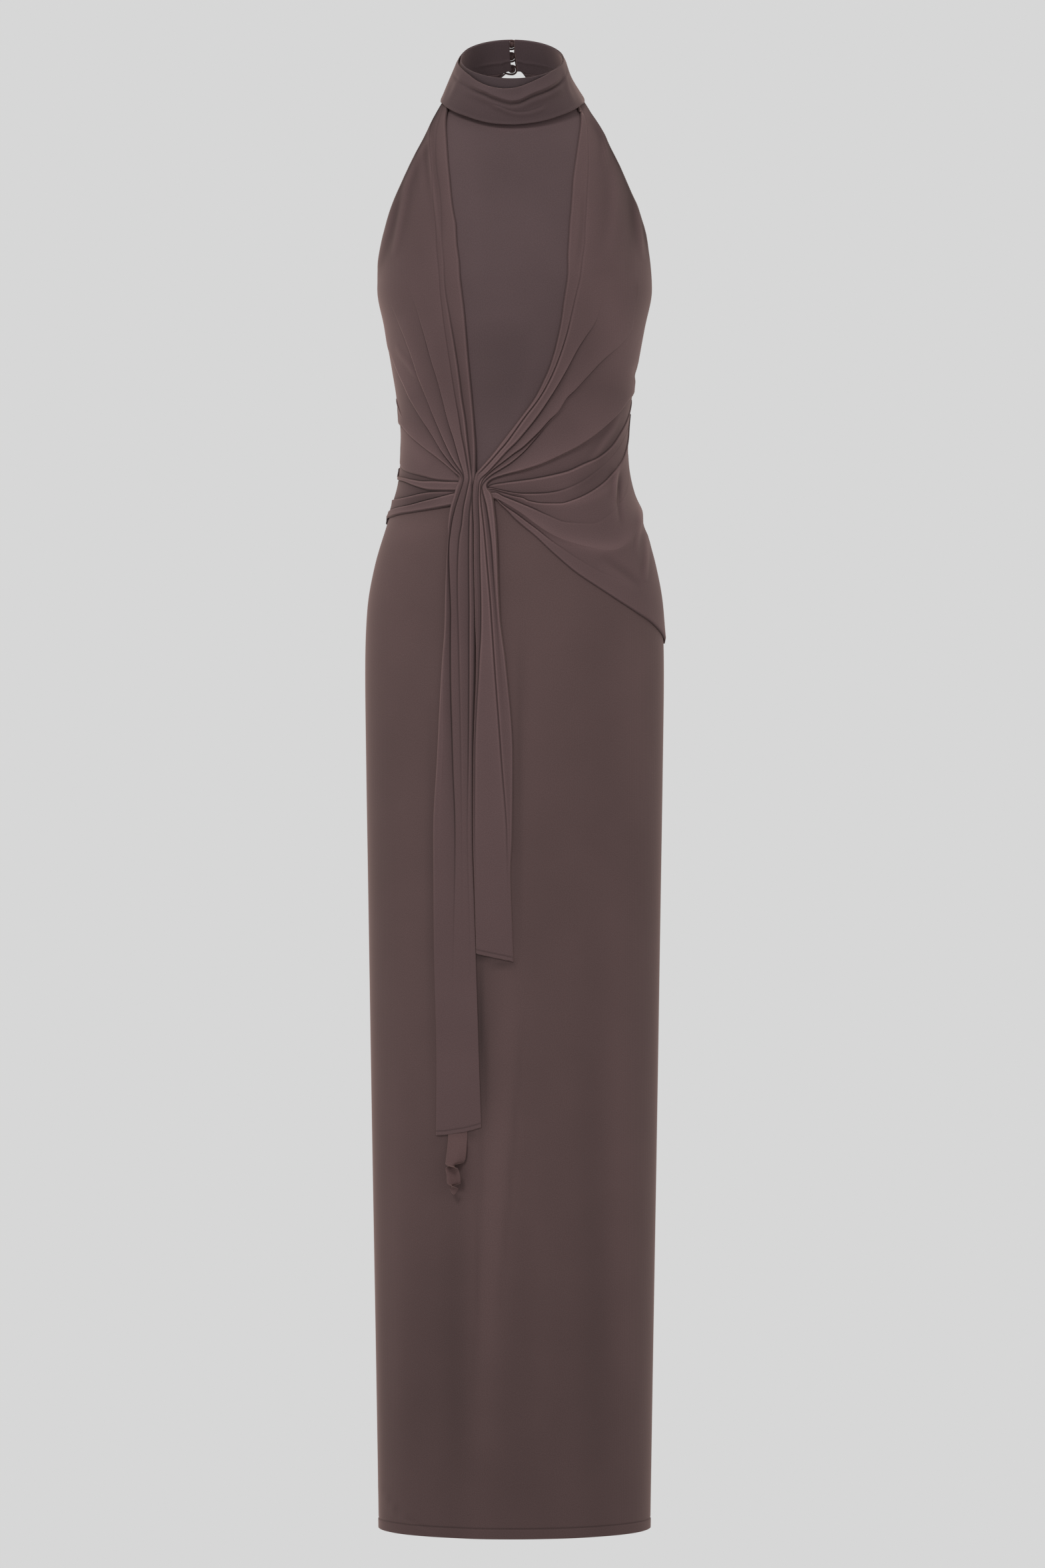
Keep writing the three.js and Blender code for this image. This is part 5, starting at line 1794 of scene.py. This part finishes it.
def tube_mesh(name: str, grid: np.ndarray, closed: bool = False) -> bpy.types.Object:
    """Builds a solid whose columns close on themselves, and whose rows may too.

    Args:
        name: Name of the piece.
        grid: Points in millimetres, rows by columns.
        closed: Whether the last row joins the first; else both ends are filled.

    Returns:
        The piece.
    """
    rows, columns = grid.shape[:2]
    index = np.arange(rows * columns).reshape(rows, columns)
    below = np.roll(index, -1, 0) if closed else index[1:]
    above = index if closed else index[:-1]
    quads = [above, below, np.roll(below, -1, 1), np.roll(above, -1, 1)]
    faces = np.stack(quads, -1).reshape(-1, 4).tolist()
    if not closed:
        faces += [index[0][::-1].tolist(), index[-1].tolist()]
    mesh = bpy.data.meshes.new(name)
    mesh.from_pydata((grid.reshape(-1, 3) * MM).tolist(), [], faces)
    mesh.polygons.foreach_set("use_smooth", np.ones(len(faces), bool))
    layer = mesh.uv_layers.new(name="knit")
    corners = np.zeros(len(mesh.loops), np.int32)
    mesh.loops.foreach_get("vertex_index", corners)
    flat = np.stack([index % columns, index // columns], -1).reshape(-1, 2) * 0.4
    layer.uv.foreach_set("vector", (flat[corners] * MM).astype(np.float32).ravel())
    layer = mesh.attributes.new("tone", "FLOAT", "POINT")
    layer.data.foreach_set("value", np.ones(len(mesh.vertices), np.float32))
    mesh.update()
    volume = sum(
        (mesh.vertices[p.vertices[0]].co - mesh.vertices[0].co).dot(p.normal) * p.area
        for p in mesh.polygons
    )
    if volume < 0:
        mesh.flip_normals()
    piece = bpy.data.objects.new(name, mesh)
    bpy.context.collection.objects.link(piece)
    return piece


@dataclass
class Bodice:
    """The front panel under the drapes and the two halves of the back."""

    front_cut: tuple[float, float] = (0.40, 0.42)
    back_cut: tuple[float, float] = (0.22, 0.47)
    front_grid: tuple[int, int] = (110, 150)
    back_grid: tuple[int, int] = (80, 200)
    keyhole_top: float = 41.0
    keyhole_bottom: float = -232.0
    keyhole_half: float = 45.0
    keyhole_roundness: float = 0.62

    def opening(self, z: np.ndarray) -> np.ndarray:
        """Gives the keyhole's half width at a height, and the seam's below it.

        Args:
            z: Height, in millimetres.

        Returns:
            Half widths in millimetres.
        """
        deep = self.keyhole_top - self.keyhole_bottom
        share = np.clip((self.keyhole_top - z) / deep, 0, 1)
        half = self.keyhole_half * np.sin(math.pi * share**self.keyhole_roundness)
        return np.maximum(half, SEAM_GAP / 2)

    def build(self, cloth: bpy.types.Material) -> None:
        """Builds and dresses the three panels.

        Args:
            cloth: Their finish.
        """

        def whole(level: np.ndarray) -> tuple[np.ndarray, np.ndarray]:
            """Runs from side to side."""
            return -FRONT.end_share(level), FRONT.end_share(level)

        front = Panel(
            "bodice_front_cloth",
            FRONT,
            (0.0, WAIST_LEVEL),
            self.front_grid,
            whole,
            (
                SoftFold(((-45, -60), (-40, -150), (-36, -240)), 9, 0.5),
                SoftFold(((30, -240), (8, -330), (-22, -395)), 7, 0.5),
            ),
            painted_shading=PANEL_PAINTED_SHADING,
        )
        piece, area = front.build()
        dress_piece(piece, cloth, ("bodice_front",))
        declare(piece, area)
        for name, sign in (("bodice_back_left", -1), ("bodice_back_right", 1)):

            def half(level: np.ndarray, sign: int = sign) -> tuple[np.ndarray, np.ndarray]:
                """Runs from the keyhole or the centre back seam to the side."""
                z = BACK.point(np.zeros(level.shape), level)[..., 2]
                return sign * BACK.share_at(self.opening(z), level), sign * BACK.end_share(level)

            folds = [
                SoftFold(((sign * a, b), (sign * c, d), (sign * e, f)), w, h)
                for a, b, c, d, e, f, w, h in (
                    (122, -372, 80, -352, 18, -300, 9, 1.3),
                    (124, -392, 84, -384, 30, -352, 7, 1.1),
                    (126, -350, 96, -318, 60, -250, 10, 1.0),
                    (134, -215, 108, -240, 84, -290, 10, 0.9),
                    (64, -120, 70, -190, 66, -250, 11, 0.7),
                )
            ]
            panel = Panel(
                f"{name}_cloth", BACK, (0.0, WAIST_LEVEL), self.back_grid, half, folds,
                opening=KEYHOLE_STITCHES,
            )
            piece, area = panel.build()
            dress_piece(piece, cloth, (name,))
            declare(piece, area)


@dataclass
class Skirt:
    """The two halves of the column skirt, with a turned hem."""

    cut: tuple[float, float] = (0.52, 1.15)
    grid: tuple[int, int] = (96, 240)
    waves: float = 0.9

    def build(self, cloth: bpy.types.Material) -> None:
        """Builds and dresses the front and the back.

        Args:
            cloth: Their finish.
        """
        top = float(FRONT.level_at(0.0, WAIST_SEAM_Z - SEAM_GAP))
        front_folds = (
            *FRONT_SKIRT_SOFT,
            SoftFold(((-108, -640), (-112, -1000), (-104, -1380)), 26, 1.4),
            SoftFold(((112, -760), (116, -1120), (108, -1500)), 20, 1.0),
        )
        back_folds = (
            SoftFold(((-70, -700), (-76, -1050), (-66, -1460)), 24, 1.5),
            SoftFold(((50, -660), (58, -1000), (52, -1400)), 26, 1.6),
            SoftFold(((110, -820), (112, -1150), (104, -1510)), 22, 1.2),
            SoftFold(((-122, -430), (-84, -455), (-30, -452)), 10, 1.0),
            SoftFold(((124, -436), (86, -468), (26, -470)), 11, 1.1),
        )
        for name, side, folds, painted_shading in (
            ("skirt_front", FRONT, front_folds, (*SKIRT_PAINTED_SHADING, *FRONT_SKIRT_PAINTED_SHADING)),
            ("skirt_back", BACK, back_folds, SKIRT_PAINTED_SHADING),
        ):

            def whole(level: np.ndarray, side: BodySide = side) -> tuple[np.ndarray, np.ndarray]:
                """Runs from side to side."""
                return -side.end_share(level), side.end_share(level)

            panel = Panel(
                f"{name}_cloth", side, (top, HEM_LEVEL), self.grid, whole, folds, painted_shading,
                hem=HEM_STITCHES, waves=self.waves,
            )
            piece, area = panel.build()
            dress_piece(piece, cloth, (name,))
            declare(piece, area)


@dataclass
class Drapes:
    """The two drapes over the front, each with its tie, and their lower gathers."""

    knot_lift: float = 2.2
    low_lift: float = 1.2
    over: float = 0.9
    tail_cut: tuple[float, float] = (0.025, 0.09)

    def fans(self) -> list[tuple[Fan, tuple[str, ...], tuple[float, float]]]:
        """Lists the drapes with the solids and the flat cut of each.

        Returns:
            For each piece the fan, the names of its solids, and its cut's width and length.
        """
        return [
            (
                Fan(
                    "drape_left_cloth", LEFT_UPPER, 3.3, 150, 190, knot_lift=self.knot_lift,
                    over=self.over, top_ease=1.8, plain=330, folds=LEFT_SOFT, painted_shading=LEFT_PAINTED_SHADING,
                ),
                ("drape_left", "tie_left"),
                (0.20, 1.10),
            ),
            (
                Fan(
                    "drape_left_gathers", LEFT_LOWER, 5.1, 110, knot_lift=self.low_lift,
                    painted_shading=LEFT_PAINTED_SHADING,
                ),
                ("drape_left",),
                (0.12, 0.12),
            ),
            (
                Fan(
                    "drape_right_cloth", RIGHT_UPPER, 0.9, 170, 150, knot_lift=self.knot_lift,
                    over=self.over, folds=RIGHT_SOFT, painted_shading=RIGHT_PAINTED_SHADING,
                ),
                ("drape_right", "tie_right"),
                (0.20, 1.00),
            ),
            (
                Fan(
                    "drape_right_gathers", RIGHT_LOWER, 2.2, 170, knot_lift=self.low_lift,
                    folds=SIDE_SOFT, painted_shading=RIGHT_PAINTED_SHADING,
                ),
                ("drape_right",),
                (0.28, 0.22),
            ),
        ]

    def build(self, cloth: bpy.types.Material, tie_cloth: bpy.types.Material) -> None:
        """Builds and dresses the drapes and the twisted end of the left tie.

        Args:
            cloth: Finish of the drapes with their ties.
            tie_cloth: Finish of the twisted end.
        """
        for fan, nodes, size in self.fans():
            piece, area = fan.build()
            dress_piece(piece, cloth, nodes)
            declare(piece, area)
        piece, area = TieTail().build()
        dress_piece(piece, tie_cloth, ("tie_left_tail",))
        declare(piece, area)


@dataclass
class Studio:
    """The pale floor, the even light round it and the camera, in metres."""

    backdrop: str = "D7D7D7"
    floor_z: float = -1.56
    distance: float = 6.0
    height: float = -0.7274
    aside: float = 0.0085
    # The picture's 2352 rows are 0.7117 mm each in the plane of the side seams.
    view_height: float = 1.6739

    def camera(self) -> None:
        """Sets a level camera in front of the dress, as far as a full-length picture needs."""
        data = bpy.data.cameras.new("studio_camera")
        data.sensor_fit = "VERTICAL"
        data.sensor_height = 36.0
        data.lens = data.sensor_height * self.distance / self.view_height
        data.clip_end = 100
        camera = bpy.data.objects.new("studio_camera", data)
        camera.location = (self.aside, -self.distance, self.height)
        camera.rotation_euler = (math.pi / 2, 0, 0)
        bpy.context.collection.objects.link(camera)
        bpy.context.scene.camera = camera

    def floor(self) -> None:
        """Lays a plain pale floor that is as light as the backdrop."""
        mesh = bpy.data.meshes.new("studio_floor")
        reach, z = 30.0, self.floor_z
        corners = [(-reach, -reach, z), (reach, -reach, z), (reach, reach, z), (-reach, reach, z)]
        mesh.from_pydata(corners, [], [(0, 1, 2, 3)])
        floor = bpy.data.objects.new("studio_floor", mesh)
        made = bpy.data.materials.new("pale_floor")
        made.use_nodes = True
        tree = made.node_tree
        glow = tree.nodes.new("ShaderNodeEmission")
        glow.inputs["Color"].default_value = linear(self.backdrop)
        tree.links.new(glow.outputs[0], tree.nodes["Material Output"].inputs["Surface"])
        mesh.materials.append(made)
        bpy.context.collection.objects.link(floor)

    def light(self) -> None:
        """Lights the dress evenly from all round, a little more from above and in front."""
        world = bpy.data.worlds.new("studio")
        world.use_nodes = True
        glow = world.node_tree.nodes["Background"]
        glow.inputs["Color"].default_value = linear(self.backdrop)
        bpy.context.scene.world = world
        for name, place, aim, size, power in (
            ("key", (-1.5, -3.0, 2.2), (0, 0, -0.5), 1.3, 74.0),
            ("fill", (2.6, -3.2, 0.2), (0, 0, -0.7), 2.2, 14.0),
            ("back_left", (-2.6, 2.4, 0.8), (0, 0, -0.6), 1.8, 5.0),
            ("back_right", (2.6, 2.6, 0.9), (0, 0, -0.6), 1.8, 7.0),
        ):
            data = bpy.data.lights.new(name, "AREA")
            data.shape = "DISK"
            data.size = size
            data.energy = power
            lamp = bpy.data.objects.new(name, data)
            lamp.location = place
            there = np.array(aim, float) - np.array(place, float)
            flat = math.hypot(there[0], there[1])
            turn = math.atan2(-there[0], there[1])
            lamp.rotation_euler = (math.atan2(flat, -there[2]), 0, turn)
            bpy.context.collection.objects.link(lamp)

    def build(self) -> None:
        """Sets up the whole studio."""
        bpy.context.scene.view_settings.view_transform = "Standard"
        self.camera()
        self.floor()
        self.light()


def main() -> None:
    """Builds the studio and the dress, piece by piece."""
    logging.basicConfig(level=logging.INFO, format="%(name)s: %(message)s")
    Studio().build()
    # One jersey throughout, in copies with painted shade and light: the layers below are darker and
    # cooler, painted as the shade where little light gets in between, and what stands proud is
    # warmer.
    panel = Jersey("bodice_jersey", "514142").material()
    drape = Jersey("drape_jersey", "574444").material()
    skirt = Jersey("skirt_jersey", "52403F").material()
    tie = Jersey("tie_jersey", "584342").material()
    inner = Jersey("collar_jersey", "483B3D").material()
    band = Jersey("collar_band_jersey", "493A3B").material()
    cover = Jersey("button_cover", "5A4645", rib_mm=1.8).material()
    Bodice().build(panel)
    Skirt().build(skirt)
    Drapes().build(drape, tie)
    Collar().build(inner, band)
    Fastening().build(tie, cover)


if __name__ == "__main__":
    main()
